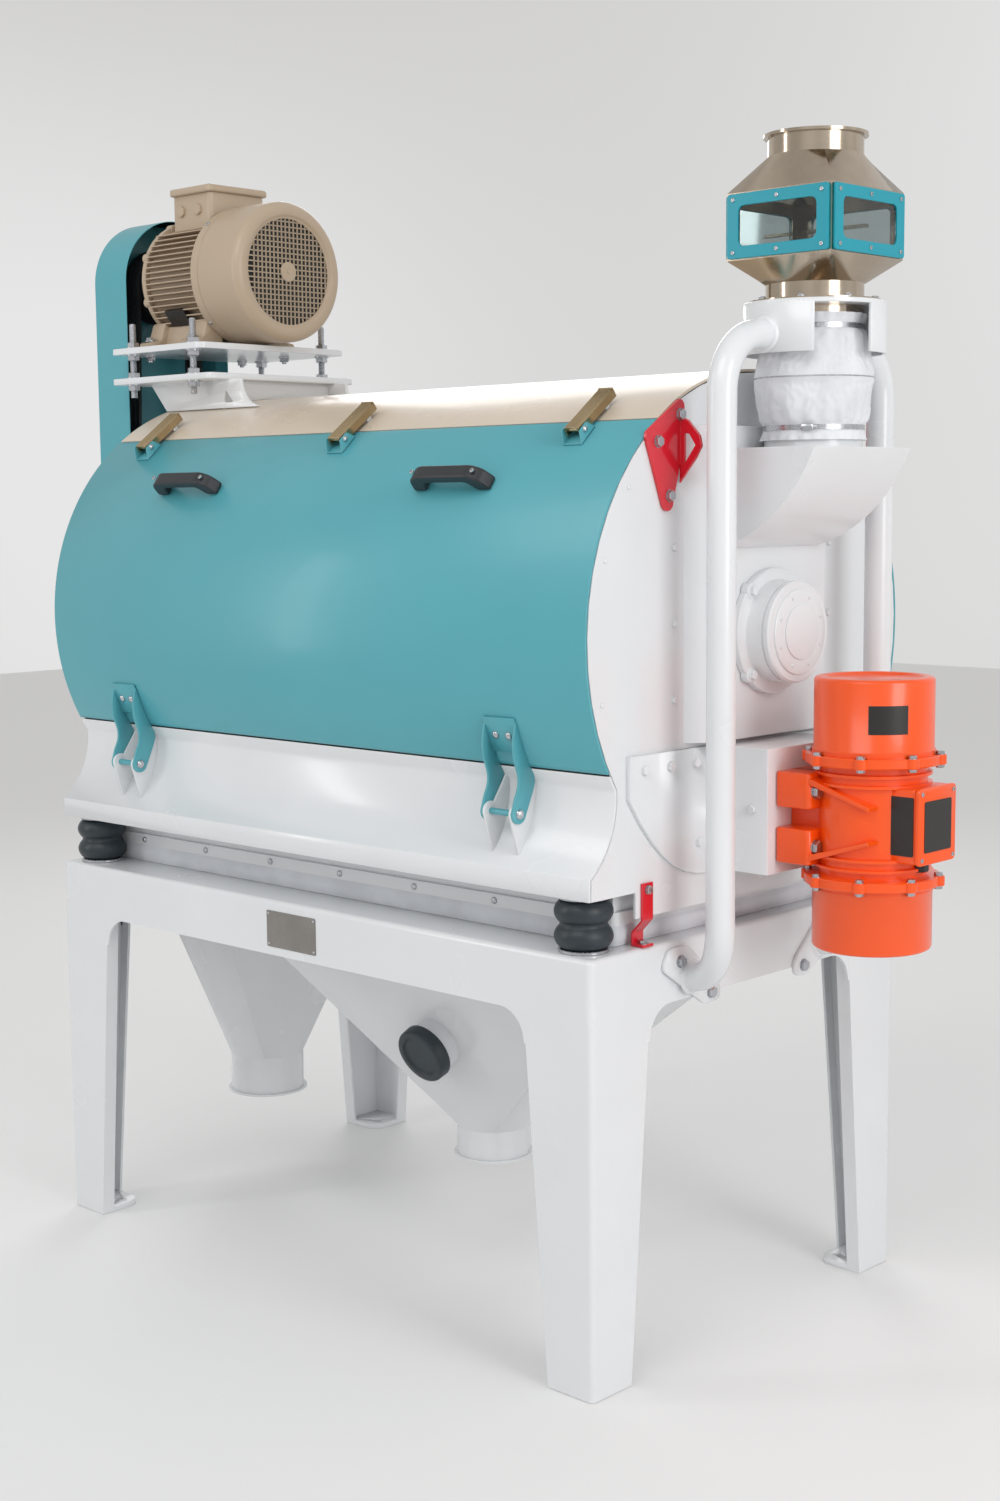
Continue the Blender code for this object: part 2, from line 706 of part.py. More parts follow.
# ================================================================ inlet
def make_post(name, side_y):
    """Bent tube from the end of the frame up to the inlet collar."""
    plate_face = FRAME_X + GAP
    plate = 0.008
    start = Vector((plate_face + plate / 2, -0.204, 0.728))
    first = start + Vector((0.055, 0.0, 0.0))
    end = Vector((POST_X, -POST_Y, 0.845))
    last = end - Vector((0.0, 0.0, 0.065))
    path = []
    for index in range(9):
        t = index / 8
        path.append(start * (1 - t) ** 3 + first * 3 * t * (1 - t) ** 2
                    + last * 3 * t ** 2 * (1 - t) + end * t ** 3)
    bend_y = POST_BEND - POST_Y
    bend_z = COLLAR_TOP_Z - 0.059 - POST_BEND
    for y, z in arc((bend_y, bend_z), POST_BEND, 180, 90, 8):
        path.append(Vector((POST_X, y, z)))
    path.append(Vector((POST_X, -COLLAR_RADIUS - GAP, path[-1].z)))
    shape = tube_along(path, POST_RADIUS, 12)
    outline = [(-0.268, 0.788), (-0.212, 0.788), (-0.118, 0.702), (-0.118, 0.672),
               (-0.162, 0.668), (-0.286, 0.752)]
    join(shape, prism(outline, "X", plate_face, plate_face + plate))
    if side_y > 0:
        mirror(shape, "Y")
    place(shape, name, "white_paint")


def make_collar():
    """Ring plate with two curved shells that the posts are welded to."""
    centre = (INLET_X, 0.0)
    inner = INLET_NECK_RADIUS + GAP
    ring_z = COLLAR_TOP_Z - 0.008
    shape = turned([(inner, ring_z), (COLLAR_RADIUS, ring_z),
                    (COLLAR_RADIUS, COLLAR_TOP_Z), (inner, COLLAR_TOP_Z)], "Z", centre, 24)
    for start in (-5, 175):
        outer_arc = arc(centre, COLLAR_RADIUS, start, start + 130, 9)
        inner_arc = arc(centre, COLLAR_RADIUS - COLLAR_SHEET, start + 130, start, 9)
        join(shape, prism(outer_arc + inner_arc, "Z",
                          COLLAR_TOP_Z - COLLAR_SHELL_DEPTH - 0.008, COLLAR_TOP_Z - 0.003))
    place(shape, "inlet_collar", "white_paint")


def make_sight_box():
    """Stainless inlet that changes from round to square and back."""
    per_side = 6
    centre = (INLET_X, 0.0)
    neck = INLET_NECK_RADIUS
    skin = STAINLESS_SHEET
    half = SIGHT_HALF_WIDTH

    def circle_at(radius, z):
        return circle_loop(centre, radius, z, 4 * per_side)

    def square_at(reach, z):
        return rectangle_loop((INLET_X - reach, INLET_X + reach), (-reach, reach), z, per_side)

    flange_z = COLLAR_TOP_Z + GAP
    rim_z = INLET_TOP_Z - 0.005
    top_neck = neck - 0.003
    loops = [
        circle_at(top_neck + 0.008, INLET_TOP_Z), circle_at(top_neck + 0.008, rim_z),
        circle_at(top_neck, rim_z), circle_at(top_neck, SIGHT_TOP_Z + 0.063),
        square_at(half, SIGHT_TOP_Z), square_at(half, SIGHT_BOTTOM_Z),
        circle_at(neck, SIGHT_BOTTOM_Z - 0.042), circle_at(neck, flange_z + skin),
        circle_at(COLLAR_RADIUS - 0.009, flange_z + skin), circle_at(COLLAR_RADIUS - 0.009, flange_z),
        circle_at(neck, flange_z), circle_at(neck, COLLAR_TOP_Z - 0.064),
        circle_at(neck - skin, COLLAR_TOP_Z - 0.064), circle_at(neck - skin, SIGHT_BOTTOM_Z - 0.042),
        square_at(half - skin, SIGHT_BOTTOM_Z), square_at(half - skin, SIGHT_TOP_Z),
        circle_at(top_neck - skin, SIGHT_TOP_Z + 0.063), circle_at(top_neck - skin, INLET_TOP_Z),
    ]
    shape = shape_from(loops, True)
    middle = (INLET_X, 0.0, (SIGHT_BOTTOM_Z + SIGHT_TOP_Z) / 2)
    open_width = WINDOW_WIDTH / 2 - WINDOW_BAR
    open_height = WINDOW_HEIGHT / 2 - WINDOW_BAR
    cut(shape, centred_box(middle, (open_width, 2 * half, open_height)))
    cut(shape, centred_box(middle, (2 * half, open_width, open_height)))
    place(shape, "sight_box", "stainless")


def make_windows():
    """Four screwed window frames, each drawn as one plate with its pane."""
    middle_z = (SIGHT_BOTTOM_Z + SIGHT_TOP_Z) / 2
    near = SIGHT_HALF_WIDTH + GAP
    depth = WINDOW_THICKNESS / 2
    for name, step_x, step_y in (("front", 0, -1), ("rear", 0, 1), ("left", -1, 0), ("right", 1, 0)):
        centre = (INLET_X + step_x * (near + depth), step_y * (near + depth), middle_z)
        width = WINDOW_WIDTH / 2
        half = (depth, width, WINDOW_HEIGHT / 2) if step_x else (width, depth, WINDOW_HEIGHT / 2)
        place(centred_box(centre, half), "sight_window_" + name, "frame_teal")


def make_sleeve():
    """Fabric sleeve between the fixed inlet neck and the moving chute neck."""
    neck = INLET_NECK_RADIUS + 2 * GAP
    skin = 0.003
    length = SLEEVE_TOP_Z - SLEEVE_BOTTOM_Z
    outside = []
    inside = []
    for share, bulge in ((0.0, 0.0), (0.12, 0.0), (0.30, 1.0), (0.50, 0.7), (0.70, 0.8),
                         (0.88, 0.0), (1.0, 0.0)):
        level = SLEEVE_BOTTOM_Z + share * length
        radius = neck + bulge * SLEEVE_BULGE
        outside.append((radius + skin, level))
        inside.append((radius, level))
    profile = outside + list(reversed(inside))
    place(turned(profile, "Z", (INLET_X, 0.0), 24), "inlet_sleeve", "white_fabric")


# ================================================================ casing
def make_casing_base():
    """Flange under the casing with the trough wall that dips into the seal."""
    skin = CASING_SHEET
    edge_x = PLATE_INNER_X - GAP
    edge_y = SKIRT_LIP_Y - PLATE_INSET
    trough_z = CASING_BOTTOM_Z - TROUGH_DEPTH
    shape = rectangle_ring([
        (edge_x, edge_y, CASING_BOTTOM_Z + skin), (edge_x, edge_y, CASING_BOTTOM_Z),
        (TROUGH_X, TROUGH_Y, CASING_BOTTOM_Z), (TROUGH_X, TROUGH_Y, trough_z),
        (TROUGH_X - skin, TROUGH_Y - skin, trough_z),
        (TROUGH_X - skin, TROUGH_Y - skin, CASING_BOTTOM_Z + skin),
    ])
    place(shape, "casing_base", "white_paint")


def channel_outline(inset, back):
    """Plan outline of the raised panel on an end plate."""
    spread = CHANNEL_HALF_WIDTH + CHANNEL_HEIGHT
    return [(back, inset - spread), (CASING_X, inset - spread),
            (CHANNEL_X - inset, inset * 0.4 - CHANNEL_HALF_WIDTH),
            (CHANNEL_X - inset, CHANNEL_HALF_WIDTH - inset * 0.4),
            (CASING_X, spread - inset), (back, spread - inset)]


def make_end_plate(name, side_x):
    """Sheet end wall with a raised panel, open behind it, for the bearing."""
    skin = CASING_SHEET
    shape = prism(end_plate_outline(), "X", PLATE_INNER_X, CASING_X)
    panel = prism(channel_outline(0.0, PLATE_INNER_X + OVERLAP), "Z", CHANNEL_BOTTOM_Z, CHANNEL_TOP_Z)
    join(shape, panel)
    hollow = prism(channel_outline(skin, PLATE_INNER_X - 0.01), "Z",
                   CHANNEL_BOTTOM_Z + skin, CHANNEL_TOP_Z - skin)
    cut(shape, hollow)
    shaft_hole = SHAFT_RADIUS + 0.012
    cut(shape, bar("X", (0.0, DRUM_AXIS_Z), shaft_hole, CHANNEL_X - 0.02, CHANNEL_X + 0.02))
    if side_x > 0:
        wall = HOPPER_SHEET
        low = chute_curve_z(CHANNEL_X, wall)
        cut(shape, box((CHANNEL_X - 0.02, CHANNEL_X + 0.02),
                       (wall - CHUTE_HALF_WIDTH, CHUTE_HALF_WIDTH - wall),
                       (low, CHUTE_TOP_Z - wall)))
    else:
        mirror(shape, "X")
    place(shape, name, "white_paint")


def make_top_cover():
    """Sheet over the drum between the doors, with the latch catches on it."""
    shape = prism(sheet_outline(DOOR_TOP_ANGLE, 180 - DOOR_TOP_ANGLE, 16), "X", -CASING_X, CASING_X)
    for side_y in (-1, 1):
        for _, latch_x in LATCH_PLACES:
            join(shape, make_catch(latch_x, side_y))
    place(shape, "top_cover", "white_paint")


def make_catch(latch_x, side_y):
    """Small hooked catch under the free end of a latch."""
    origin, along, away = latch_frame(latch_x)
    drop = 0.026
    reach = LATCH_LENGTH - 0.014
    outline = [(reach - 0.018, -drop), (reach - 0.014, -0.001), (reach - 0.004, -0.001),
               (reach, -0.007), (reach - 0.005, -0.012), (reach - 0.002, -drop)]
    shape = framed_prism(outline, origin, along, away, Vector((1.0, 0.0, 0.0)), -0.010, 0.010)
    if side_y > 0:
        mirror(shape, "Y")
    return shape


def make_skirt(name, side_y):
    """Hollow sheet below a door, with the twin lugs of the door hinges."""
    top_z = DOOR_BOTTOM_Z - DOOR_GAP
    outlines = []
    for inset in (0.0, CASING_SHEET):
        waist_z = waist_point(inset)[1]
        points = []
        for index in range(3):
            z = top_z + (waist_z - top_z) * index / 3
            points.append((front_y(z, inset), z))
        points += hollow_points(inset, 8)
        points.append((inset - SKIRT_LIP_Y, CASING_BOTTOM_Z))
        outlines.append(points)
    shape = prism(outlines[0] + list(reversed(outlines[1])), "X", -CASING_X, CASING_X)
    for centre_x in (-HINGE_X, HINGE_X):
        for side_x in (-1, 1):
            outer = centre_x + side_x * (HINGE_HALF_SPAN - HINGE_PLATE - GAP)
            inner = outer - side_x * HINGE_PLATE
            join(shape, prism(lug_outline(), "X", min(inner, outer), max(inner, outer)))
        reach = HINGE_HALF_SPAN
        cut(shape, bar("X", (-HINGE_Y, HINGE_Z), HINGE_PIN_RADIUS + GAP,
                       centre_x - reach, centre_x + reach, 16))
    if side_y > 0:
        mirror(shape, "Y")
    place(shape, name, "white_paint")


def lug_outline():
    """Side view of one hinge lug, rooted in the skirt sheet."""
    low, high = 0.958, 1.102
    root = []
    for index in range(9):
        z = low + (high - low) * index / 8
        root.append((front_y(z, CASING_SHEET / 2), z))
    eye = arc((-HINGE_Y, HINGE_Z), HINGE_EYE_RADIUS, 60, 200, 6)
    return root + eye


# ================================================================ drum inside
def make_screen_drum():
    """Sieve drum between its two partition rings."""
    radius = SCREEN_RADIUS
    inner = radius - SCREEN_THICKNESS
    ring = 0.006
    profile = [(inner, SCREEN_LEFT_X), (PARTITION_RADIUS, SCREEN_LEFT_X),
               (PARTITION_RADIUS, SCREEN_LEFT_X + ring), (radius, SCREEN_LEFT_X + ring),
               (radius, SCREEN_RIGHT_X - ring), (PARTITION_RADIUS, SCREEN_RIGHT_X - ring),
               (PARTITION_RADIUS, SCREEN_RIGHT_X), (inner, SCREEN_RIGHT_X)]
    place(turned(profile, "X", (0.0, DRUM_AXIS_Z), 28), "screen_drum", "stainless")


def make_beater_rotor():
    """Shaft, tube and discs turned in one, with the beater bars let into the discs."""
    left_x = PULLEY_CENTRE_X - PULLEY_WIDTH / 2 - 0.010
    right_x = BEARING_END_X - 0.012
    first_disc = SCREEN_LEFT_X + 0.030
    spacing = (SCREEN_RIGHT_X - SCREEN_LEFT_X - 0.070) / (BEATER_DISC_COUNT - 1)
    steps = [(SHAFT_RADIUS, left_x), (SHAFT_RADIUS, first_disc - 0.020),
             (BEATER_TUBE_RADIUS, first_disc - 0.020)]
    for index in range(BEATER_DISC_COUNT):
        disc_x = first_disc + index * spacing
        steps += [(BEATER_TUBE_RADIUS, disc_x), (BEATER_DISC_RADIUS, disc_x),
                  (BEATER_DISC_RADIUS, disc_x + 0.008), (BEATER_TUBE_RADIUS, disc_x + 0.008)]
    tube_end = steps[-1][1] + 0.020
    steps += [(BEATER_TUBE_RADIUS, tube_end), (SHAFT_RADIUS, tube_end), (SHAFT_RADIUS, right_x)]
    shape = stepped_bar(steps, "X", (0.0, DRUM_AXIS_Z), 18)
    axis = Vector((1.0, 0.0, 0.0))
    origin = Vector((0.0, 0.0, DRUM_AXIS_Z))
    for index in range(BEATER_COUNT):
        outward, across = drum_frame(360 * index / BEATER_COUNT + 7)
        outline = rectangle((BEATER_DISC_RADIUS - 0.020, BEATER_TIP_RADIUS), (-0.004, 0.004))
        join(shape, framed_prism(outline, origin, outward, across, axis,
                                 first_disc - 0.012, tube_end - 0.008))
    place(shape, "beater_rotor", "machined_steel", (0.0, 0.0, DRUM_AXIS_Z))


def make_bearings():
    """Flanged bearing housings, blind on the right and open for the shaft on the left."""
    bore = SHAFT_RADIUS + GAP
    flange_x = BEARING_X + BEARING_FLANGE_THICKNESS
    cap_x = BEARING_END_X + BEARING_CAP_LENGTH
    profile = [(BEARING_FLANGE_RADIUS, BEARING_X), (BEARING_FLANGE_RADIUS, flange_x),
               (BEARING_HUB_RADIUS, flange_x), (BEARING_HUB_RADIUS, BEARING_END_X),
               (BEARING_CAP_RADIUS, BEARING_END_X), (BEARING_CAP_RADIUS, cap_x)]
    centre = (0.0, DRUM_AXIS_Z)
    right = cut(stepped_bar(profile, "X", centre, 24),
                bar("X", centre, bore, BEARING_X - 0.01, BEARING_END_X - 0.008))
    place(right, "bearing_right", "white_paint")
    left = cut(stepped_bar(profile, "X", centre, 24),
               bar("X", centre, bore, BEARING_X - 0.01, cap_x + 0.01))
    place(mirror(left, "X"), "bearing_left", "white_paint")


# ================================================================ belt drive
def pulley_profile(radius, bore):
    """Plain rim as a closed turning profile along X."""
    low = PULLEY_CENTRE_X - PULLEY_WIDTH / 2
    high = low + PULLEY_WIDTH
    return [(bore, low), (radius, low), (radius, high), (bore, high)]


def make_driven_pulley():
    centre = (0.0, DRUM_AXIS_Z)
    shape = turned(pulley_profile(DRIVEN_PULLEY_RADIUS, SHAFT_RADIUS + GAP), "X", centre, 24)
    place(shape, "driven_pulley", "cast_iron", (0.0, 0.0, DRUM_AXIS_Z))


def make_motor_rotor():
    """Motor shaft with its pulley at one end and its fan at the other."""
    low = PULLEY_CENTRE_X - PULLEY_WIDTH / 2
    radius = MOTOR_PULLEY_RADIUS
    fan_x = MOTOR_SPLIT_X + 0.050
    steps = [(radius, low), (radius, low + PULLEY_WIDTH), (MOTOR_SHAFT_RADIUS, low + PULLEY_WIDTH),
              (MOTOR_SHAFT_RADIUS, fan_x), (0.115, fan_x), (0.115, fan_x + 0.030),
              (MOTOR_SHAFT_RADIUS, fan_x + 0.030), (MOTOR_SHAFT_RADIUS, fan_x + 0.040)]
    shape = stepped_bar(steps, "X", (0.0, MOTOR_AXIS_Z), 20)
    place(shape, "motor_rotor", "cast_iron", (0.0, 0.0, MOTOR_AXIS_Z))


def belt_outline(extra, steps):
    """Loop round both pulleys, moved outward by extra, its flats clear of the rims."""
    span = MOTOR_AXIS_Z - DRUM_AXIS_Z
    lean = math.degrees(math.asin((DRIVEN_PULLEY_RADIUS - MOTOR_PULLEY_RADIUS) / span))
    flats = math.cos(math.radians(90 / steps))
    top_radius = (MOTOR_PULLEY_RADIUS + GAP) / flats + extra
    low_radius = (DRIVEN_PULLEY_RADIUS + GAP) / flats + extra
    top = arc((0.0, MOTOR_AXIS_Z), top_radius, lean, 180 - lean, steps)
    low = arc((0.0, DRUM_AXIS_Z), low_radius, 180 - lean, 360 + lean, steps)
    return top + low


def make_belt():
    """Set of V belts, drawn as one band that lies on both pulleys."""
    half = PULLEY_WIDTH / 2 - 0.003
    loops = []
    for extra, side in ((BELT_THICKNESS, -1), (BELT_THICKNESS, 1), (0.0, 1), (0.0, -1)):
        level = PULLEY_CENTRE_X + side * half
        loops.append([(level, y, z) for y, z in belt_outline(extra, 20)])
    place(shape_from(loops, True), "drive_belt", "black_rubber")


def make_guard():
    """Belt guard, a deep tray that is open towards the motor."""
    def outline(radius):
        top = arc((0.0, MOTOR_AXIS_Z), radius, 0, 180, 16)
        low = arc((0.0, DRUM_AXIS_Z), radius, 180, 360, 16)
        return top + low

    shape = prism(outline(GUARD_RADIUS), "X", GUARD_LEFT_X, GUARD_RIGHT_X)
    cut(shape, prism(outline(GUARD_RADIUS - GUARD_SHEET), "X",
                     GUARD_LEFT_X + GUARD_SHEET, GUARD_RIGHT_X + 0.01))
    place(shape, "belt_guard", "teal_paint")


def stud_places():
    half_x = STUD_SPACING_X / 2
    half_y = STUD_SPACING_Y / 2
    return [(MOTOR_X + side_x * half_x, side_y * half_y) for side_x in (-1, 1) for side_y in (-1, 1)]


def make_motor_cradle():
    """Seat plate on webs that stand on the top cover, with four threaded studs."""
    half_y = 0.215
    plate = box((-0.905, -0.540), (-half_y, half_y), (SEAT_PLATE_Z, SEAT_PLATE_TOP_Z))
    web_y = 0.155
    skin = 0.008
    surface = DRUM_RADIUS + GAP
    for side_y in (-1, 1):
        near = web_y - skin / 2
        base_z = DRUM_AXIS_Z + math.sqrt(surface ** 2 - near ** 2)
        curl = arc((-0.445, SEAT_PLATE_Z), SEAT_PLATE_Z - base_z - 0.004, 255, 180, 4)
        outline = [(-0.770, base_z), (-0.445, base_z)] + curl
        outline += [(-0.560, SEAT_PLATE_Z + 0.004), (-0.830, SEAT_PLATE_Z + 0.004)]
        join(plate, prism(outline, "Y", side_y * web_y - skin / 2, side_y * web_y + skin / 2))
    under = arc((0.0, DRUM_AXIS_Z), surface, 71, 109, 8)
    cross = under + [(under[-1][0], SEAT_PLATE_Z + 0.004), (under[0][0], SEAT_PLATE_Z + 0.004)]
    join(plate, prism(cross, "X", -0.572, -0.564))
    for centre in stud_places():
        join(plate, bar("Z", centre, STUD_RADIUS, SEAT_PLATE_Z - 0.030, MOTOR_PLATE_TOP_Z + 0.055, 12))
    place(plate, "motor_cradle", "white_paint")


# ================================================================ motor
def make_motor_plate():
    shape = box((-0.905, -0.571), (-0.215, 0.215), (MOTOR_PLATE_Z, MOTOR_PLATE_TOP_Z))
    for centre in stud_places():
        cut(shape, bar("Z", centre, STUD_RADIUS + 0.001, MOTOR_PLATE_Z - 0.01,
                       MOTOR_PLATE_TOP_Z + 0.01, 12))
    place(shape, "motor_plate", "white_paint")


def make_motor_body():
    """Motor barrel with its feet and terminal box, bored for the shaft."""
    bore = MOTOR_SHAFT_RADIUS + GAP
    centre = (0.0, MOTOR_AXIS_Z)
    barrel = MOTOR_BARREL_RADIUS
    profile = [(bore, MOTOR_LEFT_X), (0.085, MOTOR_LEFT_X), (0.125, MOTOR_LEFT_X + 0.020),
               (barrel, MOTOR_LEFT_X + 0.030), (barrel, MOTOR_SPLIT_X), (bore, MOTOR_SPLIT_X)]
    shape = turned(profile, "X", centre, 28)
    foot_z = MOTOR_PLATE_TOP_Z + GAP
    foot_top_z = MOTOR_AXIS_Z - MOTOR_FOOT_DROP
    for side_y in (-1, 1):
        inner = side_y * 0.060
        outer = side_y * 0.150
        outline = [(inner, foot_z), (outer, foot_z), (outer, foot_z + 0.018),
                   (side_y * 0.115, foot_top_z), (inner, foot_top_z)]
        join(shape, prism(outline, "X", -0.875, -0.680))
    join(shape, box((-0.832, -0.690), (-0.090, 0.090), (MOTOR_AXIS_Z + 0.110, TERMINAL_BOX_TOP_Z)))
    place(shape, "motor_body", "beige_paint")


def make_fan_cowl():
    """Sheet cowl over the motor's fan."""
    inner = MOTOR_BARREL_RADIUS + 2 * GAP
    outer = COWL_RADIUS
    skin = COWL_SHEET
    low = MOTOR_SPLIT_X - 0.030
    bend = 0.018
    profile = [(inner, low), (outer, low), (outer, MOTOR_RIGHT_X - bend),
               (outer - bend, MOTOR_RIGHT_X), (0.012, MOTOR_RIGHT_X),
               (0.012, MOTOR_RIGHT_X - skin), (outer - bend - skin, MOTOR_RIGHT_X - skin),
               (outer - skin, MOTOR_RIGHT_X - bend - skin), (outer - skin, MOTOR_SPLIT_X + 0.002),
               (inner, MOTOR_SPLIT_X + 0.002)]
    place(turned(profile, "X", (0.0, MOTOR_AXIS_Z), 28), "fan_cowl", "beige_paint")


# ================================================================ chute and unbalance motor
def chute_curve_z(x, inset):
    """Height of the chute's curved underside at a distance along X."""
    reach = CHUTE_CURVE_RADIUS - inset
    return CHUTE_CURVE_Z - math.sqrt(reach ** 2 - (x - CHUTE_CURVE_X) ** 2)


def chute_outline(inset, start_x):
    """Side view of the chute, its curved underside drawn as an arc."""
    reach = CHUTE_CURVE_RADIUS - inset
    top_z = CHUTE_TOP_Z - inset
    centre = (CHUTE_CURVE_X, CHUTE_CURVE_Z)
    first = -math.degrees(math.acos((start_x - CHUTE_CURVE_X) / reach))
    last = -math.degrees(math.asin((CHUTE_CURVE_Z - top_z) / reach))
    return [(start_x, top_z)] + arc(centre, reach, first, last, 9)


def make_chute():
    """Inlet chute on the right end plate, open into the casing."""
    wall = HOPPER_SHEET
    half = CHUTE_HALF_WIDTH
    shape = prism(chute_outline(0.0, CHUTE_X), "Y", -half, half)
    cut(shape, prism(chute_outline(wall, CHUTE_X - 0.01), "Y", wall - half, half - wall))
    neck = INLET_NECK_RADIUS
    centre = (INLET_X, 0.0)
    join(shape, bar("Z", centre, neck, CHUTE_TOP_Z - OVERLAP, CHUTE_TOP_Z + 0.070))
    cut(shape, bar("Z", centre, neck - STAINLESS_SHEET, CHUTE_TOP_Z - 0.02, CHUTE_TOP_Z + 0.08))
    place(shape, "inlet_chute", "white_paint")


def make_vibro_bracket():
    """Box bracket with wings on the end plate that carries the unbalance motor."""
    face = CASING_X + GAP
    wing = BRACKET_SHEET
    top_z = BRACKET_TOP_Z
    wing_reach = 0.371
    low_reach = 0.147
    curve = []
    for index in range(8):
        share = index / 7
        y = low_reach + (wing_reach - low_reach) * share
        curve.append((y, 0.912 + (1.070 - 0.912) * share ** 2.2))
    outline = [(-y, z) for y, z in reversed(curve)] + curve
    outline += [(wing_reach, top_z), (-wing_reach, top_z)]
    shape = prism(outline, "X", face, face + wing)
    half = BRACKET_HALF_WIDTH
    join(shape, box((face + wing / 2, BRACKET_FACE_X), (-half, half), (BRACKET_BOTTOM_Z, top_z - OVERLAP)))
    cut(shape, box((face + wing, BRACKET_FACE_X - wing), (wing - half, half - wing),
                   (BRACKET_BOTTOM_Z - 0.01, top_z - OVERLAP - wing)))
    place(shape, "vibro_bracket", "white_paint")


def make_vibro_motor():
    """Unbalance motor with covers, flanges, foot block and terminal box."""
    centre = (VIBRO_X, 0.0)
    cover = VIBRO_COVER_RADIUS
    flange = VIBRO_FLANGE_RADIUS
    body = VIBRO_BODY_RADIUS
    room = VIBRO_WEIGHT_RADIUS + 0.006
    bore = 0.020
    low, high = VIBRO_BOTTOM_Z, VIBRO_TOP_Z
    low_flange = (0.905, 0.923)
    high_flange = (1.122, 1.140)
    profile = [(bore, low), (cover, low), (cover, low_flange[0]), (flange, low_flange[0]),
               (flange, low_flange[1]), (body, low_flange[1]), (body, high_flange[0]),
               (flange, high_flange[0]), (flange, high_flange[1]), (cover, high_flange[1]),
               (cover, high), (bore, high), (bore, high - 0.004), (room, high - 0.004),
               (room, high_flange[1]), (bore, high_flange[1]), (bore, low_flange[0]),
               (room, low_flange[0]), (room, low + 0.004), (bore, low + 0.004)]
    shape = turned(profile, "Z", centre, 24)
    near_x = BRACKET_FACE_X + GAP
    foot = box((near_x, VIBRO_X - 0.060), (-0.108, 0.108), (0.940, 1.105))
    cut(foot, box((near_x - 0.01, near_x + 0.014), (-0.060, 0.060), (0.93, 1.12)))
    join(shape, foot)
    terminal = box((VIBRO_X + 0.070, VIBRO_BOX_FACE_X), (-0.058, 0.058), (0.956, 1.088))
    join(shape, terminal)
    cut(shape, bar("Z", centre, bore, 0.89, 1.15))
    place(shape, "vibro_motor", "orange_paint")


def make_vibro_weights():
    """Shaft of the unbalance motor with a half-disc weight at each end."""
    centre = (VIBRO_X, 0.0)
    shape = bar("Z", centre, 0.017, VIBRO_BOTTOM_Z + 0.012, VIBRO_TOP_Z - 0.012, 16)
    for low in (VIBRO_BOTTOM_Z + 0.030, VIBRO_TOP_Z - 0.090):
        outline = arc(centre, VIBRO_WEIGHT_RADIUS, 0, 180, 12) + arc(centre, 0.025, 200, 340, 4)
        join(shape, prism(outline, "Z", low, low + 0.060))
    place(shape, "vibro_weights", "machined_steel", (VIBRO_X, 0.0, (VIBRO_BOTTOM_Z + VIBRO_TOP_Z) / 2))


def make_lifting_lug(name, side_y):
    """Bolted lug with a bent-out ear and its shackle hole."""
    face = CASING_X + GAP
    skin = 0.006
    outline = arc((-0.228, 1.752), 0.013, 100, 0, 4) + [(-0.217, 1.690)]
    outline += arc((-0.262, 1.585), 0.016, 0, -150, 5) + arc((-0.310, 1.698), 0.013, 190, 130, 3)
    shape = prism(outline, "X", face, face + skin)
    ear = [(face + skin / 2, 1.735), (face + 0.022, 1.728), (face + 0.048, 1.700),
           (face + 0.052, 1.682), (face + 0.040, 1.662), (face + skin / 2, 1.618)]
    hole = [(face + 0.014, 1.705), (face + 0.024, 1.704), (face + 0.038, 1.684), (face + 0.014, 1.652)]
    join(shape, prism(ear, "Y", -0.2275, -0.2215))
    cut(shape, prism(hole, "Y", -0.240, -0.210))
    if side_y > 0:
        mirror(shape, "Y")
    place(shape, name, "red_paint")


# ================================================================ doors
def door_angles():
    bottom = 180 + math.degrees(math.asin((DRUM_AXIS_Z - DOOR_BOTTOM_Z) / DRUM_RADIUS))
    slit = math.degrees(DOOR_GAP / DRUM_RADIUS)
    return 180 - DOOR_TOP_ANGLE + slit, bottom


def latch_frame(latch_x):
    """Pivot point of a latch, the direction of its lever and the way off the drum."""
    outward, upward = drum_frame(LATCH_ANGLE)
    origin = Vector((latch_x, 0.0, DRUM_AXIS_Z)) + outward * (DRUM_RADIUS + LATCH_PIVOT_HEIGHT)
    lean = math.radians(LATCH_TILT)
    along = upward * math.cos(lean) - outward * math.sin(lean)
    away = outward * math.cos(lean) + upward * math.sin(lean)
    return origin, along, away


def make_door_sheet():
    """Curved door with the pivot ears of its latches, drawn for the front side."""
    start, end = door_angles()
    shape = prism(sheet_outline(start, end, 16), "X", -CASING_X, CASING_X)
    outward, upward = drum_frame(LATCH_ANGLE)
    axis = Vector((1.0, 0.0, 0.0))
    inner = LATCH_WIDTH / 2 + 0.003
    for _, latch_x in LATCH_PLACES:
        origin = Vector((latch_x, 0.0, DRUM_AXIS_Z)) + outward * DRUM_RADIUS
        outline = [(-0.022, -0.003), (0.022, -0.003), (0.012, 0.023), (-0.012, 0.023)]
        for low in (inner, -inner - LATCH_SHEET):
            join(shape, framed_prism(outline, origin, upward, outward, axis, low, low + LATCH_SHEET))
        pivot = origin + outward * LATCH_PIVOT_HEIGHT
        reach = inner + LATCH_SHEET + 0.002
        cut(shape, bar("X", (pivot.y, pivot.z), LATCH_PIN_RADIUS + GAP,
                       latch_x - reach, latch_x + reach, 10))
    return shape


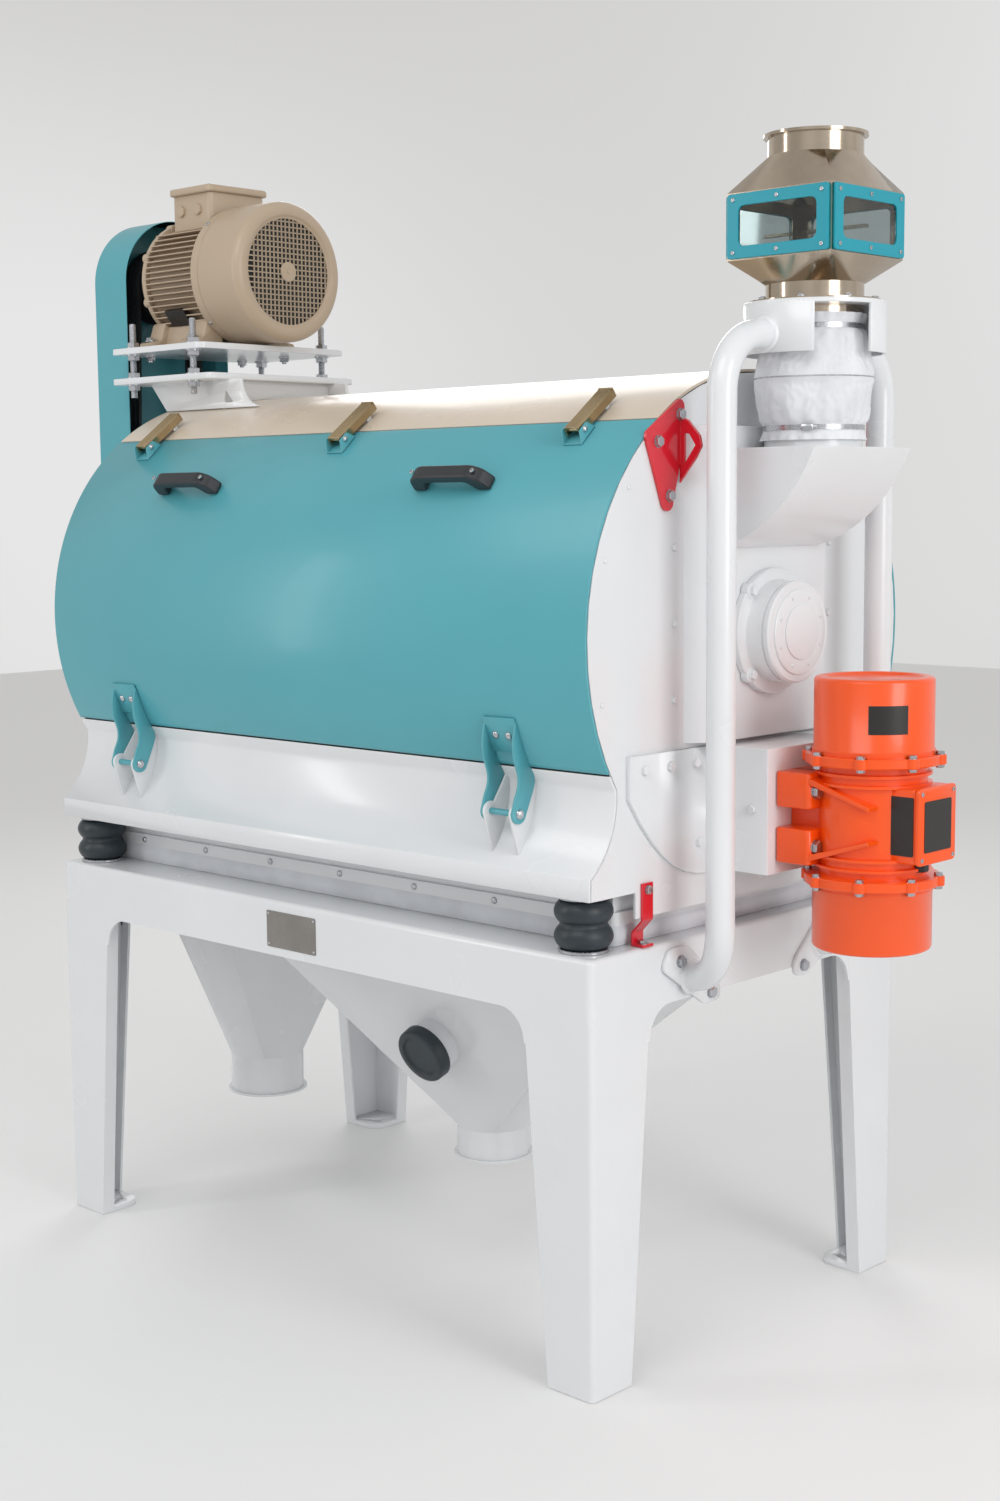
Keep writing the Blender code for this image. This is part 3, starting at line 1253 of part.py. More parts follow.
def make_hinge_bracket(centre_x, stand_off):
    """Two cranked arms on a base plate, drawn for the front side."""
    angle = 201.0
    outward, upward = drum_frame(angle)
    origin = Vector((centre_x, 0.0, DRUM_AXIS_Z)) + outward * DRUM_RADIUS
    span = HINGE_HALF_SPAN
    shape = framed_prism(rectangle((-0.034, 0.034), (stand_off, 0.0053)), origin, upward, outward,
                         Vector((1.0, 0.0, 0.0)), OVERLAP - span, span - OVERLAP)
    eye = arc((-HINGE_Y, HINGE_Z), HINGE_EYE_RADIUS, 170, 330, 7)
    on_door = arc((0.0, DRUM_AXIS_Z), DRUM_RADIUS + 0.0006, 208.0, 198.0, 5)
    outline = [(-0.4575, 1.200), (-0.4640, 1.170), (-0.4630, 1.135), (-0.4500, 1.107),
               (-0.4500, 1.085), (-0.4600, 1.064)]
    outline += eye + [(-0.4130, 1.074), (-0.4075, 1.090), (-0.4100, 1.103)] + on_door
    for side_x in (-1, 1):
        outer = centre_x + side_x * span
        inner = outer - side_x * HINGE_PLATE
        arm = prism(outline, "X", min(inner, outer), max(inner, outer))
        join(shape, arm)
    reach = span - HINGE_PLATE / 2
    join(shape, bar("X", (-HINGE_Y, HINGE_Z), HINGE_PIN_RADIUS, centre_x - reach, centre_x + reach, 16))
    return shape


def make_handle(centre_x, stand_off):
    """Bridge handle, drawn for the front side."""
    outward, upward = drum_frame(HANDLE_ANGLE)
    origin = Vector((centre_x, 0.0, DRUM_AXIS_Z)) + outward * DRUM_RADIUS
    half = HANDLE_LENGTH / 2
    high = HANDLE_HEIGHT
    outline = [(-half, stand_off), (-half + 0.008, high - 0.014), (-half + 0.030, high),
               (half - 0.030, high), (half - 0.008, high - 0.014), (half, stand_off),
               (half - 0.034, stand_off), (half - 0.042, high - 0.022),
               (0.042 - half, high - 0.022), (0.034 - half, stand_off)]
    return framed_prism(outline, origin, Vector((1.0, 0.0, 0.0)), outward, upward,
                        -HANDLE_WIDTH / 2, HANDLE_WIDTH / 2)


def make_latch(name, latch_x, side_y):
    """Channel lever on its pin, its claw reaching past the catch."""
    origin, along, away = latch_frame(latch_x)
    axis = Vector((1.0, 0.0, 0.0))
    half = LATCH_WIDTH / 2
    skin = LATCH_SHEET
    reach = LATCH_LENGTH
    shape = framed_prism(rectangle((-0.009, reach), (-0.008, 0.011)), origin, along, away, axis, -half, half)
    hollow = rectangle((-0.020, reach - 0.004), (-0.020, 0.011 - skin))
    cut(shape, framed_prism(hollow, origin, along, away, axis, skin - half, half - skin))
    pin = half + 0.003 + skin - 0.0015
    join(shape, bar("X", (origin.y, origin.z), LATCH_PIN_RADIUS, latch_x - pin, latch_x + pin, 10))
    pivot = origin
    if side_y > 0:
        mirror(shape, "Y")
        pivot = Vector((origin.x, -origin.y, origin.z))
    place(shape, name, "stainless", pivot)


def make_doors():
    pivot = (0.0, -HINGE_Y, HINGE_Z)
    place(make_door_sheet(), "front_door", "teal_paint", pivot)
    rear = make_door_sheet()
    for side, side_x in SIDE_PLACES:
        hinge_pivot = (side_x * HINGE_X, -HINGE_Y, HINGE_Z)
        place(make_hinge_bracket(side_x * HINGE_X, GAP), "front_hinge_" + side, "teal_paint", hinge_pivot)
        place(make_handle(side_x * HANDLE_X, GAP), "front_handle_" + side, "black_plastic", pivot)
        join(rear, make_hinge_bracket(side_x * HINGE_X, -0.002), make_handle(side_x * HANDLE_X, -0.002))
    place(mirror(rear, "Y"), "rear_door", "teal_paint", (0.0, HINGE_Y, HINGE_Z))
    for side, latch_x in LATCH_PLACES:
        make_latch("front_latch_" + side, latch_x, -1)
        make_latch("rear_latch_" + side, latch_x, 1)


# ================================================================ assembly
def make_stand():
    make_stand_frame()
    make_legs()
    make_hoppers()
    make_port_cap()
    make_seal_skirt()
    for end, side_x in SIDE_PLACES:
        make_buffer("buffer_front_" + end, side_x, -1)
        make_buffer("buffer_rear_" + end, side_x, 1)
    for side, side_y in (("front", -1), ("rear", 1)):
        make_transport_lock("transport_lock_" + side, side_y)
        make_post("inlet_post_" + side, side_y)
    make_collar()
    make_sight_box()
    make_windows()
    make_sleeve()


def make_casing():
    make_casing_base()
    make_end_plate("end_plate_left", -1)
    make_end_plate("end_plate_right", 1)
    make_top_cover()
    make_skirt("front_skirt", -1)
    make_skirt("rear_skirt", 1)
    make_screen_drum()
    make_bearings()
    make_chute()
    make_vibro_bracket()
    make_vibro_motor()
    make_motor_cradle()
    make_guard()
    make_belt()
    make_lifting_lug("lifting_lug_front", -1)
    make_lifting_lug("lifting_lug_rear", 1)


def make_moving_parts():
    make_motor_plate()
    make_motor_body()
    make_fan_cowl()
    make_motor_rotor()
    make_beater_rotor()
    make_driven_pulley()
    make_vibro_weights()
    make_doors()


def main():
    clear_scene()
    add_empty("machine", (-CENTRE_X, 0.0, 0.0))
    make_stand()
    make_casing()
    make_moving_parts()
    bpy.context.view_layer.update()


main()
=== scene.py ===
"""Looks of a vibratory drum bran finisher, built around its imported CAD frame.

Every piece takes its place from the frame's nodes, in metres.  +X points to the
inlet end, -Y to the front, +Z up.
"""
import json
import math

import bmesh
import bpy
from mathutils import Matrix, Vector, noise


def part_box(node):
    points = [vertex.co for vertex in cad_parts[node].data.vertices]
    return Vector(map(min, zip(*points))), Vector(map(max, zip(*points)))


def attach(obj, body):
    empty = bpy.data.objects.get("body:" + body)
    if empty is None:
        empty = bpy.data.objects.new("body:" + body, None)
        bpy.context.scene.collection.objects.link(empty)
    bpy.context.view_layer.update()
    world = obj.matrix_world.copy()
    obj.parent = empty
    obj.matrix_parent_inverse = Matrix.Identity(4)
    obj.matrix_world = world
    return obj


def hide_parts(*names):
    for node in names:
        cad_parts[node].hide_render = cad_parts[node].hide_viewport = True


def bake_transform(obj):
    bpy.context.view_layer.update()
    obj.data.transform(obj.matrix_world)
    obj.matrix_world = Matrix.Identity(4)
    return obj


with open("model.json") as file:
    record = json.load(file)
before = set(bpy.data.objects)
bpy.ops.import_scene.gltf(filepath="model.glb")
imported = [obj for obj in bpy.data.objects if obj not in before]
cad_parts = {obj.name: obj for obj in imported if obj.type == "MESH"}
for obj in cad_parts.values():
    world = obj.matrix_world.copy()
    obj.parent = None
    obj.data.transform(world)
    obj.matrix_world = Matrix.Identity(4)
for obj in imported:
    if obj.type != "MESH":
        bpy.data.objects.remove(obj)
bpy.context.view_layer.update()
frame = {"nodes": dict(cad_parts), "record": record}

SMOOTH = 96                        # sides of a visible round piece
GAP = 0.0003                       # between pieces that touch
X_AXIS = Vector((1.0, 0.0, 0.0))
UP = Vector((0.0, 0.0, 1.0))


# ================================================================ places from the frame
# Everything is drawn with X = 0 at the middle of the casing and moved by SHIFT when dressed.
SHIFT = Vector(((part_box("top_cover")[0].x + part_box("top_cover")[1].x) / 2, 0.0, 0.0))


def low(node):
    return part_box(node)[0] - SHIFT


def high(node):
    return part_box(node)[1] - SHIFT


def middle(node):
    return (low(node) + high(node)) / 2


CASING_X = high("top_cover").x
DRUM_Z = middle("bearing_right").z
DRUM_RADIUS = 0.4775
SHEET = 0.005
CHANNEL_X = low("bearing_right").x - GAP
STAND_TOP = high("stand_frame").z
FRAME_X = high("stand_frame").x
FRAME_Y = high("stand_frame").y
FASCIA_Z = low("stand_frame").z
BASE_Z = low("front_skirt").z
INLET_X = middle("inlet_collar").x
COLLAR_Z = high("inlet_collar").z
VIBRO_X = middle("vibro_weights").x
MOTOR_Z = middle("fan_cowl").z
PLATE_Z = low("motor_plate").z
PLATE_TOP = high("motor_plate").z


# ================================================================ mesh helpers
def link(name, data):
    shape = bpy.data.objects.new(name, data)
    bpy.context.scene.collection.objects.link(shape)
    return shape


def from_bmesh(name, mesh, sharp=38):
    bmesh.ops.recalc_face_normals(mesh, faces=mesh.faces)
    data = bpy.data.meshes.new(name)
    mesh.to_mesh(data)
    mesh.free()
    data.shade_smooth()
    data.set_sharp_from_angle(angle=math.radians(sharp))
    return link(name, data)


def add_loft(mesh, loops, ring=False):
    """Bridge loops of equal length inside a bmesh."""
    rows = [[mesh.verts.new(point) for point in loop] for loop in loops]
    count = len(rows[0])
    pairs = list(zip(rows, rows[1:]))
    if ring:
        pairs.append((rows[-1], rows[0]))
    else:
        mesh.faces.new(rows[0])
        mesh.faces.new(rows[-1])
    for first, second in pairs:
        for index in range(count):
            after = (index + 1) % count
            mesh.faces.new((first[index], first[after], second[after], second[index]))


def loft(name, loops, ring=False, sharp=38):
    mesh = bmesh.new()
    add_loft(mesh, loops, ring)
    return from_bmesh(name, mesh, sharp)


def arc(centre, radius, start, end, steps):
    points = []
    for index in range(steps + 1):
        angle = math.radians(start + (end - start) * index / steps)
        points.append((centre[0] + radius * math.cos(angle), centre[1] + radius * math.sin(angle)))
    return points


def on_axis(axis, pair, level):
    if axis == "X":
        return Vector((level, pair[0], pair[1]))
    if axis == "Y":
        return Vector((pair[0], level, pair[1]))
    return Vector((pair[0], pair[1], level))


def round_places(centre, axis, radius, count, first):
    """(point, outward direction) pairs, evenly spaced on a circle from its first angle."""
    pairs = []
    for index in range(count):
        angle = math.radians(first + 360 / count * index)
        outward = on_axis(axis, (math.cos(angle), math.sin(angle)), 0.0)
        pairs.append((Vector(centre) + outward * radius, outward))
    return pairs


def prism(name, outline, axis, start, end):
    return loft(name, [[on_axis(axis, pair, level) for pair in outline] for level in (start, end)])


def basis(origin, normal):
    """Matrix that puts a piece drawn along +Z onto a surface with this normal."""
    normal = Vector(normal).normalized()
    side = Vector((1.0, 0.0, 0.0)) if abs(normal.x) < 0.9 else Vector((0.0, 1.0, 0.0))
    first = normal.cross(side).normalized()
    second = normal.cross(first)
    matrix = Matrix((first, second, normal)).transposed().to_4x4()
    matrix.translation = Vector(origin)
    return matrix


def turned(name, profile, origin, direction, ring=False, sides=SMOOTH, sharp=38):
    """Turn (radius, level) points about an axis through origin."""
    matrix = basis(origin, direction)
    loops = []
    for radius, level in profile:
        circle = arc((0, 0), radius, 0, 360 - 360 / sides, sides - 1)
        loops.append([matrix @ Vector((u, v, level)) for u, v in circle])
    return loft(name, loops, ring, sharp=sharp)


def rod(name, origin, direction, radius, span, edge=0.0008, sides=48):
    """Round bar with slightly broken edges."""
    start, end = span
    profile = [(radius - edge, start), (radius, start + edge), (radius, end - edge), (radius - edge, end)]
    return turned(name, profile, origin, direction, sides=sides)


def rounded(outline, radius, steps=5):
    """Outline with its corners rounded off."""
    points = []
    for index, place in enumerate(outline):
        corner = Vector(place)
        before = Vector(outline[index - 1]) - corner
        after = Vector(outline[(index + 1) % len(outline)]) - corner
        start = corner + before.normalized() * min(radius, before.length * 0.45)
        end = corner + after.normalized() * min(radius, after.length * 0.45)
        for step in range(steps + 1):
            t = step / steps
            points.append(tuple(start * (1 - t) ** 2 + corner * 2 * t * (1 - t) + end * t ** 2))
    return points


def rectangle(u_span, v_span):
    return [(u_span[0], v_span[0]), (u_span[1], v_span[0]), (u_span[1], v_span[1]), (u_span[0], v_span[1])]


def framed_prism(name, outline, origin, first, second, depth, span):
    """Extrude an outline given along two directions, through a third one."""
    loops = []
    for level in span:
        loops.append([origin + first * u + second * v + depth * level for u, v in outline])
    return loft(name, loops)


def soften(shape, width, segments=2, angle=32):
    """Rounded edges that catch the light."""
    bevel = shape.modifiers.new("edges", "BEVEL")
    bevel.width = width
    bevel.segments = segments
    bevel.limit_method = "ANGLE"
    bevel.angle_limit = math.radians(angle)
    bevel.harden_normals = True
    bevel.use_clamp_overlap = True
    return shape


def apply_modifiers(shape):
    graph = bpy.context.evaluated_depsgraph_get()
    data = bpy.data.meshes.new_from_object(shape.evaluated_get(graph))
    shape.modifiers.clear()
    shape.data = data
    return shape


def boolean(shape, tool, operation):
    """Join or cut a shape with a tool, which is used up."""
    modifier = shape.modifiers.new("boolean", "BOOLEAN")
    modifier.operation = operation
    modifier.object = tool
    modifier.solver = "EXACT"
    apply_modifiers(shape)
    bpy.data.objects.remove(tool)
    return shape


def cut(shape, tool):
    return boolean(shape, tool, "DIFFERENCE")


def merged(name, shapes, sharp=38):
    """One piece out of several closed shapes."""
    mesh = bmesh.new()
    for shape in shapes:
        apply_modifiers(shape)
        mesh.from_mesh(shape.data)
        bpy.data.objects.remove(shape)
    return from_bmesh(name, mesh, sharp)


def mirrored(shape, axis):
    """Flip a shape through the middle plane across X or Y."""
    index = "XY".index(axis)
    for vertex in shape.data.vertices:
        vertex.co[index] = -vertex.co[index]
    shape.data.flip_normals()
    return shape


def both_sides(places):
    """Fastener places and their mirror images on the rear side."""
    across = [((x, -y, z), (nx, -ny, nz)) for (x, y, z), (nx, ny, nz) in places]
    return list(places) + across


def block(name, x_span, y_span, z_span):
    return prism(name, rectangle(x_span, y_span), "Z", z_span[0], z_span[1])


def tube(name, path, radius, sides=24, closed=False):
    """Round tube along points, its rings square to the path."""
    loops = []
    count = len(path)
    side = None
    for index, point in enumerate(path):
        if closed:
            before, after = path[index - 1], path[(index + 1) % count]
        else:
            before, after = path[max(index - 1, 0)], path[min(index + 1, count - 1)]
        along = (Vector(after) - Vector(before)).normalized()
        if side is None:
            side = along.orthogonal().normalized()
        side = (side - along * side.dot(along)).normalized()
        other = along.cross(side)
        loops.append([Vector(point) + side * u + other * v
                      for u, v in arc((0, 0), radius, 0, 360 - 360 / sides, sides - 1)])
    return loft(name, loops, ring=closed)


def copy_of_node(node, dissolve=0.6):
    """A new object with a CAD node's solid; triangles closer to flat than dissolve are merged."""
    source = frame["nodes"][node]
    data = source.data.copy()
    mesh = bmesh.new()
    mesh.from_mesh(data)
    mesh.transform(Matrix.Translation(-SHIFT) @ source.matrix_world)
    bmesh.ops.remove_doubles(mesh, verts=mesh.verts, dist=1e-5)
    if dissolve:
        bmesh.ops.dissolve_limit(mesh, angle_limit=math.radians(dissolve),
                                 verts=mesh.verts, edges=mesh.edges)
    mesh.to_mesh(data)
    mesh.free()
    data.materials.clear()
    data.shade_smooth()
    data.set_sharp_from_angle(angle=math.radians(32))
    return link(node + "_finished", data)


# ================================================================ fasteners
# Sections from the seat upwards as (form, radius, height), in shares of the fastener's size.
FASTENER_SHAPES = {
    "hex": [("round", 1.15, 0.0), ("round", 1.15, 0.16), ("round", 0.80, 0.17), ("hex", 0.92, 0.18),
            ("hex", 0.92, 0.72), ("hex", 0.80, 0.84), ("hex", 0.30, 0.86)],
    "nut": [("round", 1.20, 0.0), ("round", 1.20, 0.16), ("hex", 0.92, 0.17), ("hex", 0.92, 0.90),
            ("hex", 0.78, 1.0), ("round", 0.50, 1.0), ("round", 0.50, 1.35), ("round", 0.42, 1.42)],
    "flat_nut": [("round", 1.25, 0.0), ("round", 1.25, 0.16), ("hex", 0.92, 0.17), ("hex", 0.92, 0.90),
                 ("hex", 0.78, 1.0), ("round", 0.56, 1.0)],
    "dome": [("round", 1.0, 0.0), ("round", 1.0, 0.10), ("round", 0.92, 0.32), ("round", 0.70, 0.52),
             ("round", 0.36, 0.63), ("round", 0.10, 0.66)],
    "socket": [("round", 0.90, 0.0), ("round", 0.90, 0.30), ("round", 0.80, 0.46), ("round", 0.55, 0.55),
               ("hex", 0.34, 0.55), ("hex", 0.32, 0.25)],
}


def fastener_section(matrix, form, radius, height):
    """A round or hexagonal ring of 24 points, placed by the matrix."""
    flat = math.cos(math.radians(30))
    ring = []
    for degrees in range(0, 360, 15):
        reach = radius
        if form == "hex":
            reach *= flat / math.cos(math.radians(degrees % 60 - 30)) / flat
        angle = math.radians(degrees)
        ring.append(matrix @ Vector((reach * math.cos(angle), reach * math.sin(angle), height)))
    return ring


def fasteners(name, kind, places, size, body, material="zinc"):
    """Bolts or nuts of one kind as one piece; places are (point, normal) pairs."""
    mesh = bmesh.new()
    for point, normal in places:
        matrix = basis(point, normal)
        add_loft(mesh, [fastener_section(matrix, form, radius * size, height * size)
                        for form, radius, height in FASTENER_SHAPES[kind]])
    return dress(from_bmesh(name, mesh, 30), body, material)


# ================================================================ materials
def srgb(red, green, blue):
    def linear(value):
        value /= 255
        return value / 12.92 if value <= 0.04045 else ((value + 0.055) / 1.055) ** 2.4

    return (linear(red), linear(green), linear(blue), 1.0)


def shader_of(material):
    return material.node_tree.nodes["Principled BSDF"]


def add_node(material, kind, **inputs):
    made = material.node_tree.nodes.new(kind)
    for key, value in inputs.items():
        made.inputs[key.replace("_", " ")].default_value = value
    return made


def position(material):
    return add_node(material, "ShaderNodeTexCoord").outputs["Object"]


def noise_field(material, scale, detail=4.0, roughness=0.5, stretch=None):
    tree = material.node_tree
    field = add_node(material, "ShaderNodeTexNoise", Scale=scale, Detail=detail, Roughness=roughness)
    source = position(material)
    if stretch:
        mapping = add_node(material, "ShaderNodeMapping", Scale=stretch)
        tree.links.new(source, mapping.inputs["Vector"])
        source = mapping.outputs["Vector"]
    tree.links.new(source, field.inputs["Vector"])
    return field.outputs["Fac"]


def mixed_colour(material, factor, first, second, start=0.35, end=0.65):
    """Blend two colours by a field, and feed the shader's base colour."""
    tree = material.node_tree
    ramp = add_node(material, "ShaderNodeValToRGB")
    ramp.color_ramp.elements[0].position = start
    ramp.color_ramp.elements[0].color = first
    ramp.color_ramp.elements[1].position = end
    ramp.color_ramp.elements[1].color = second
    tree.links.new(factor, ramp.inputs["Fac"])
    tree.links.new(ramp.outputs["Color"], shader_of(material).inputs["Base Color"])


def roughness_between(material, factor, lowest, highest):
    tree = material.node_tree
    spread = add_node(material, "ShaderNodeMapRange")
    spread.inputs["From Min"].default_value = 0.3
    spread.inputs["From Max"].default_value = 0.7
    spread.inputs["To Min"].default_value = lowest
    spread.inputs["To Max"].default_value = highest
    tree.links.new(factor, spread.inputs["Value"])
    tree.links.new(spread.outputs["Result"], shader_of(material).inputs["Roughness"])


def bumps(material, fields):
    """Chain of bump nodes, each from (height, strength, distance)."""
    tree = material.node_tree
    last = None
    for height, strength, distance in fields:
        bump = add_node(material, "ShaderNodeBump", Strength=strength, Distance=distance)
        tree.links.new(height, bump.inputs["Height"])
        if last:
            tree.links.new(last.outputs["Normal"], bump.inputs["Normal"])
        last = bump
    tree.links.new(last.outputs["Normal"], shader_of(material).inputs["Normal"])


def plain(name, colour, roughness, metallic=0.0):
    material = bpy.data.materials.new(name)
    material.use_nodes = True
    shader = shader_of(material)
    shader.inputs["Base Color"].default_value = colour
    shader.inputs["Roughness"].default_value = roughness
    shader.inputs["Metallic"].default_value = metallic
    return material


def shade(colour, factor):
    return tuple(part * factor for part in colour[:3]) + (1.0,)


def paint(name, colour, roughness, peel, coat):
    """Sprayed paint: faint cloudiness, orange peel and uneven gloss."""
    material = plain(name, colour, roughness)
    clouds = noise_field(material, 3.5, 2.0, 0.5)
    mixed_colour(material, clouds, shade(colour, 0.975), shade(colour, 1.01))
    roughness_between(material, noise_field(material, 6.0, 2.0, 0.5), roughness * 0.95, roughness * 1.06)
    fine = noise_field(material, 300.0, 2.0)
    broad = noise_field(material, 30.0, 2.0)
    bumps(material, [(broad, peel * 0.15, 0.001), (fine, peel * 1.5, 0.0003)])
    shader_of(material).inputs["Coat Weight"].default_value = coat
    shader_of(material).inputs["Coat Roughness"].default_value = 0.12
    return material


def metal(name, colour, roughness, stretch, grain, scale):
    """Bare metal with a grain that may run one way."""
    material = plain(name, colour, roughness, 1.0)
    lines = noise_field(material, scale, 3.0, 0.6, stretch)
    blotches = noise_field(material, 7.0, 5.0, 0.65)
    mixed_colour(material, blotches, shade(colour, 0.86), shade(colour, 1.06))
    roughness_between(material, lines, roughness * 0.7, roughness * 1.5)
    bumps(material, [(lines, grain, 0.0006)])
    return material


def rubber(name, colour, roughness):
    material = plain(name, colour, roughness)
    dust = noise_field(material, 14.0, 6.0, 0.7)
    mixed_colour(material, dust, colour, shade(colour, 1.9), 0.45, 0.8)
    roughness_between(material, dust, roughness * 0.8, roughness * 1.3)
    bumps(material, [(noise_field(material, 260.0, 3.0), 0.12, 0.0005)])
    return material


def cloth(name, colour, pitch, depth):
    """Plain weave from two sets of threads, with a soft sheen."""
    material = plain(name, colour, 0.92)
    tree = material.node_tree
    source = position(material)
    threads = []
    for direction in ("Z", "X"):
        wave = add_node(material, "ShaderNodeTexWave", Scale=1.0 / pitch / 3.1, Distortion=0.6)
        wave.wave_type = "BANDS"
        wave.bands_direction = direction
        tree.links.new(source, wave.inputs["Vector"])
        threads.append(wave.outputs["Fac"])
    mixed_colour(material, noise_field(material, 12.0, 5.0), shade(colour, 0.88), colour)
    bumps(material, [(threads[0], depth, 0.0006), (threads[1], depth, 0.0006),
                     (noise_field(material, 700.0, 2.0), depth, 0.0004)])
    shader = shader_of(material)
    shader.inputs["Sheen Weight"].default_value = 0.25
    shader.inputs["Sheen Roughness"].default_value = 0.5
    return material


def glass(name):
    material = plain(name, (0.52, 0.58, 0.58, 1.0), 0.03)
    shader = shader_of(material)
    shader.inputs["Transmission Weight"].default_value = 1.0
    shader.inputs["IOR"].default_value = 1.45
    return material


def perforated(name, colour, pitch):
    """Sieve sheet: round holes drawn as near-black dots on steel, staggered by a Voronoi grid; the black is
    painted shade of the dark inside seen through them.
    """
    material = plain(name, colour, 0.35, 1.0)
    tree = material.node_tree
    cells = add_node(material, "ShaderNodeTexVoronoi", Scale=1.0 / pitch, Randomness=0.0)
    tree.links.new(position(material), cells.inputs["Vector"])
    # painted shade: near-black dots stand in for the dark inside seen through the holes
    mixed_colour(material, cells.outputs["Distance"], (0.01, 0.01, 0.01, 1.0), colour, 0.28, 0.34)
    bumps(material, [(cells.outputs["Distance"], 0.4, 0.001)])
    return material


PAINTS = {                         # colour, roughness, orange peel, clear coat
    "white_paint": ((226, 228, 230), 0.26, 0.007, 0.35),
    "cover_paint": ((214, 200, 182), 0.28, 0.008, 0.3),
    "teal_paint": ((84, 164, 175), 0.36, 0.03, 0.10),
    "frame_teal": ((0, 150, 168), 0.32, 0.03, 0.0),
    "orange_paint": ((246, 84, 6), 0.30, 0.06, 0.3),
    "red_paint": ((214, 26, 44), 0.16, 0.04, 0.6),
    "beige_paint": ((184, 165, 142), 0.36, 0.03, 0.1),
    "plate_black": ((36, 34, 32), 0.35, 0.01, 0.0),
}
RUBBERS = {                        # colour, roughness
    "black_plastic": ((34, 36, 40), 0.38),
    "rubber": ((36, 46, 52), 0.42),
    "belt_rubber": ((30, 30, 32), 0.75),
}
METALS = {                         # colour, roughness, stretch, depth and scale of the grain
    # painted reflection: the warm brown tint of stainless and the gold tint of latch_steel stand in for warm
    # surroundings reflected in the steel
    "stainless": ((190, 176, 158), 0.13, (1, 1, 14), 0.006, 180.0),
    "latch_steel": ((176, 156, 122), 0.19, (1, 1, 1), 0.01, 180.0),
    "zinc": ((196, 198, 202), 0.26, (1, 1, 1), 0.05, 180.0),
    "steel": ((168, 168, 170), 0.34, (12, 1, 1), 0.08, 180.0),
    "iron": ((62, 64, 68), 0.55, (1, 1, 1), 0.3, 90.0),
    "plate_silver": ((150, 146, 142), 0.30, (20, 1, 1), 0.03, 180.0),
}
CLOTHS = {                         # colour, thread pitch, depth of the weave
    "sleeve_fabric": ((232, 234, 238), 0.0012, 0.35),
    "seal_fabric": ((224, 227, 232), 0.0016, 0.15),
}
SIEVES = {                         # colour, pitch of the holes
    "sieve": ((180, 178, 172), 0.006),
}
MATERIALS = {"glass": glass("glass")}
for make, table in ((paint, PAINTS), (rubber, RUBBERS), (metal, METALS), (cloth, CLOTHS),
                    (perforated, SIEVES)):
    for name, (colour, *values) in table.items():
        MATERIALS[name] = make(name, srgb(*colour), *values)


def dress(shape, body, material, replaces=(), stay=False):
    """Give a piece its material and body, and hide the nodes it stands for."""
    shape.data.transform(Matrix.Translation(SHIFT))
    shape.data.materials.clear()
    shape.data.materials.append(MATERIALS[material])
    if not stay:
        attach(shape, body)
    if replaces:
        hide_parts(*replaces)
    return shape


def body_of(node):
    for body, members in frame["record"]["behaviour"]["bodies"].items():
        if node in members:
            return body
    return "root"


def finish_node(node, material, width, segments=2, dissolve=0.6):
    """Stand-in for a CAD node: the same solid with rounded edges."""
    shape = soften(copy_of_node(node, dissolve), width, segments)
    return dress(shape, body_of(node), material, (node,))


# ================================================================ stand and hoppers
SPOUT_Z = low("bran_hopper").z
HOPPER_BEND_Z = 0.690
HOPPER_BEND_Y = 0.250
LIP_Z = 0.760
LEG_WIDTH = 0.160                  # at the fascia
FOOT_WIDTH = 0.107


def rectangle_loop(x_span, y_span, z, per_side):
    corners = rectangle(x_span, y_span)
    loop = []
    for start, end in zip(corners, corners[1:] + corners[:1]):
        for index in range(per_side):
            share = index / per_side
            loop.append(Vector((start[0] + (end[0] - start[0]) * share,
                                start[1] + (end[1] - start[1]) * share, z)))
    return loop


def circle_loop(centre, radius, z, count):
    """A circle whose first point lies towards the rectangle's first corner."""
    points = arc(centre, radius, -135, 225 - 360 / count, count - 1)
    return [Vector((u, v, z)) for u, v in points]


def rounded_loop(half_x, half_y, radius, z):
    """Rectangle with rounded corners at a height, the same points each time."""
    loop = []
    for side_x, side_y, start in ((1, 1, 0), (-1, 1, 90), (-1, -1, 180), (1, -1, 270)):
        centre = (side_x * (half_x - radius), side_y * (half_y - radius))
        loop += [Vector((u, v, z)) for u, v in arc(centre, radius, start, start + 90, 8)]
    return loop


def make_deck():
    """Folded deck ring with rounded outer edges."""
    skin = 0.006
    bend = 0.010
    corner = 0.014
    lip_x = FRAME_X - 0.053
    lip_y = FRAME_Y - 0.120
    top = STAND_TOP
    sections = [(FRAME_X, FRAME_Y, FASCIA_Z)]
    for index in range(7):
        turn = math.radians(15 * index)
        inset = bend * (1 - math.cos(turn))
        sections.append((FRAME_X - inset, FRAME_Y - inset, top - bend * (1 - math.sin(turn))))
    sections += [(lip_x + 0.004, lip_y + 0.004, top), (lip_x + 0.001, lip_y + 0.001, top - 0.001),
                 (lip_x, lip_y, top - 0.004), (lip_x, lip_y, LIP_Z), (lip_x + skin, lip_y + skin, LIP_Z),
                 (lip_x + skin, lip_y + skin, top - skin - 0.004),
                 (FRAME_X - skin, FRAME_Y - skin, top - skin - 0.004),
                 (FRAME_X - skin, FRAME_Y - skin, FASCIA_Z)]
    loops = [rounded_loop(half_x, half_y, corner, z) for half_x, half_y, z in sections]
    dress(loft("deck", loops, ring=True), "root", "white_paint", ("stand_frame",))


def leg_loop(width, z, inset=0.0):
    """Section of a folded leg as distances inward from its outer corner."""
    skin = 0.006
    lip = 0.030
    corner = 0.010
    outline = arc((corner, corner), corner, 270, 180, 6)
    outline = [(width, 0.0), (width, lip), (width - skin, lip), (width - skin, skin), (skin, skin),
               (skin, width - skin), (lip, width - skin), (lip, width), (0.0, width)] + outline[::-1]
    return [(FRAME_X - max(u, inset), FRAME_Y - max(v, inset), z) for u, v in outline]


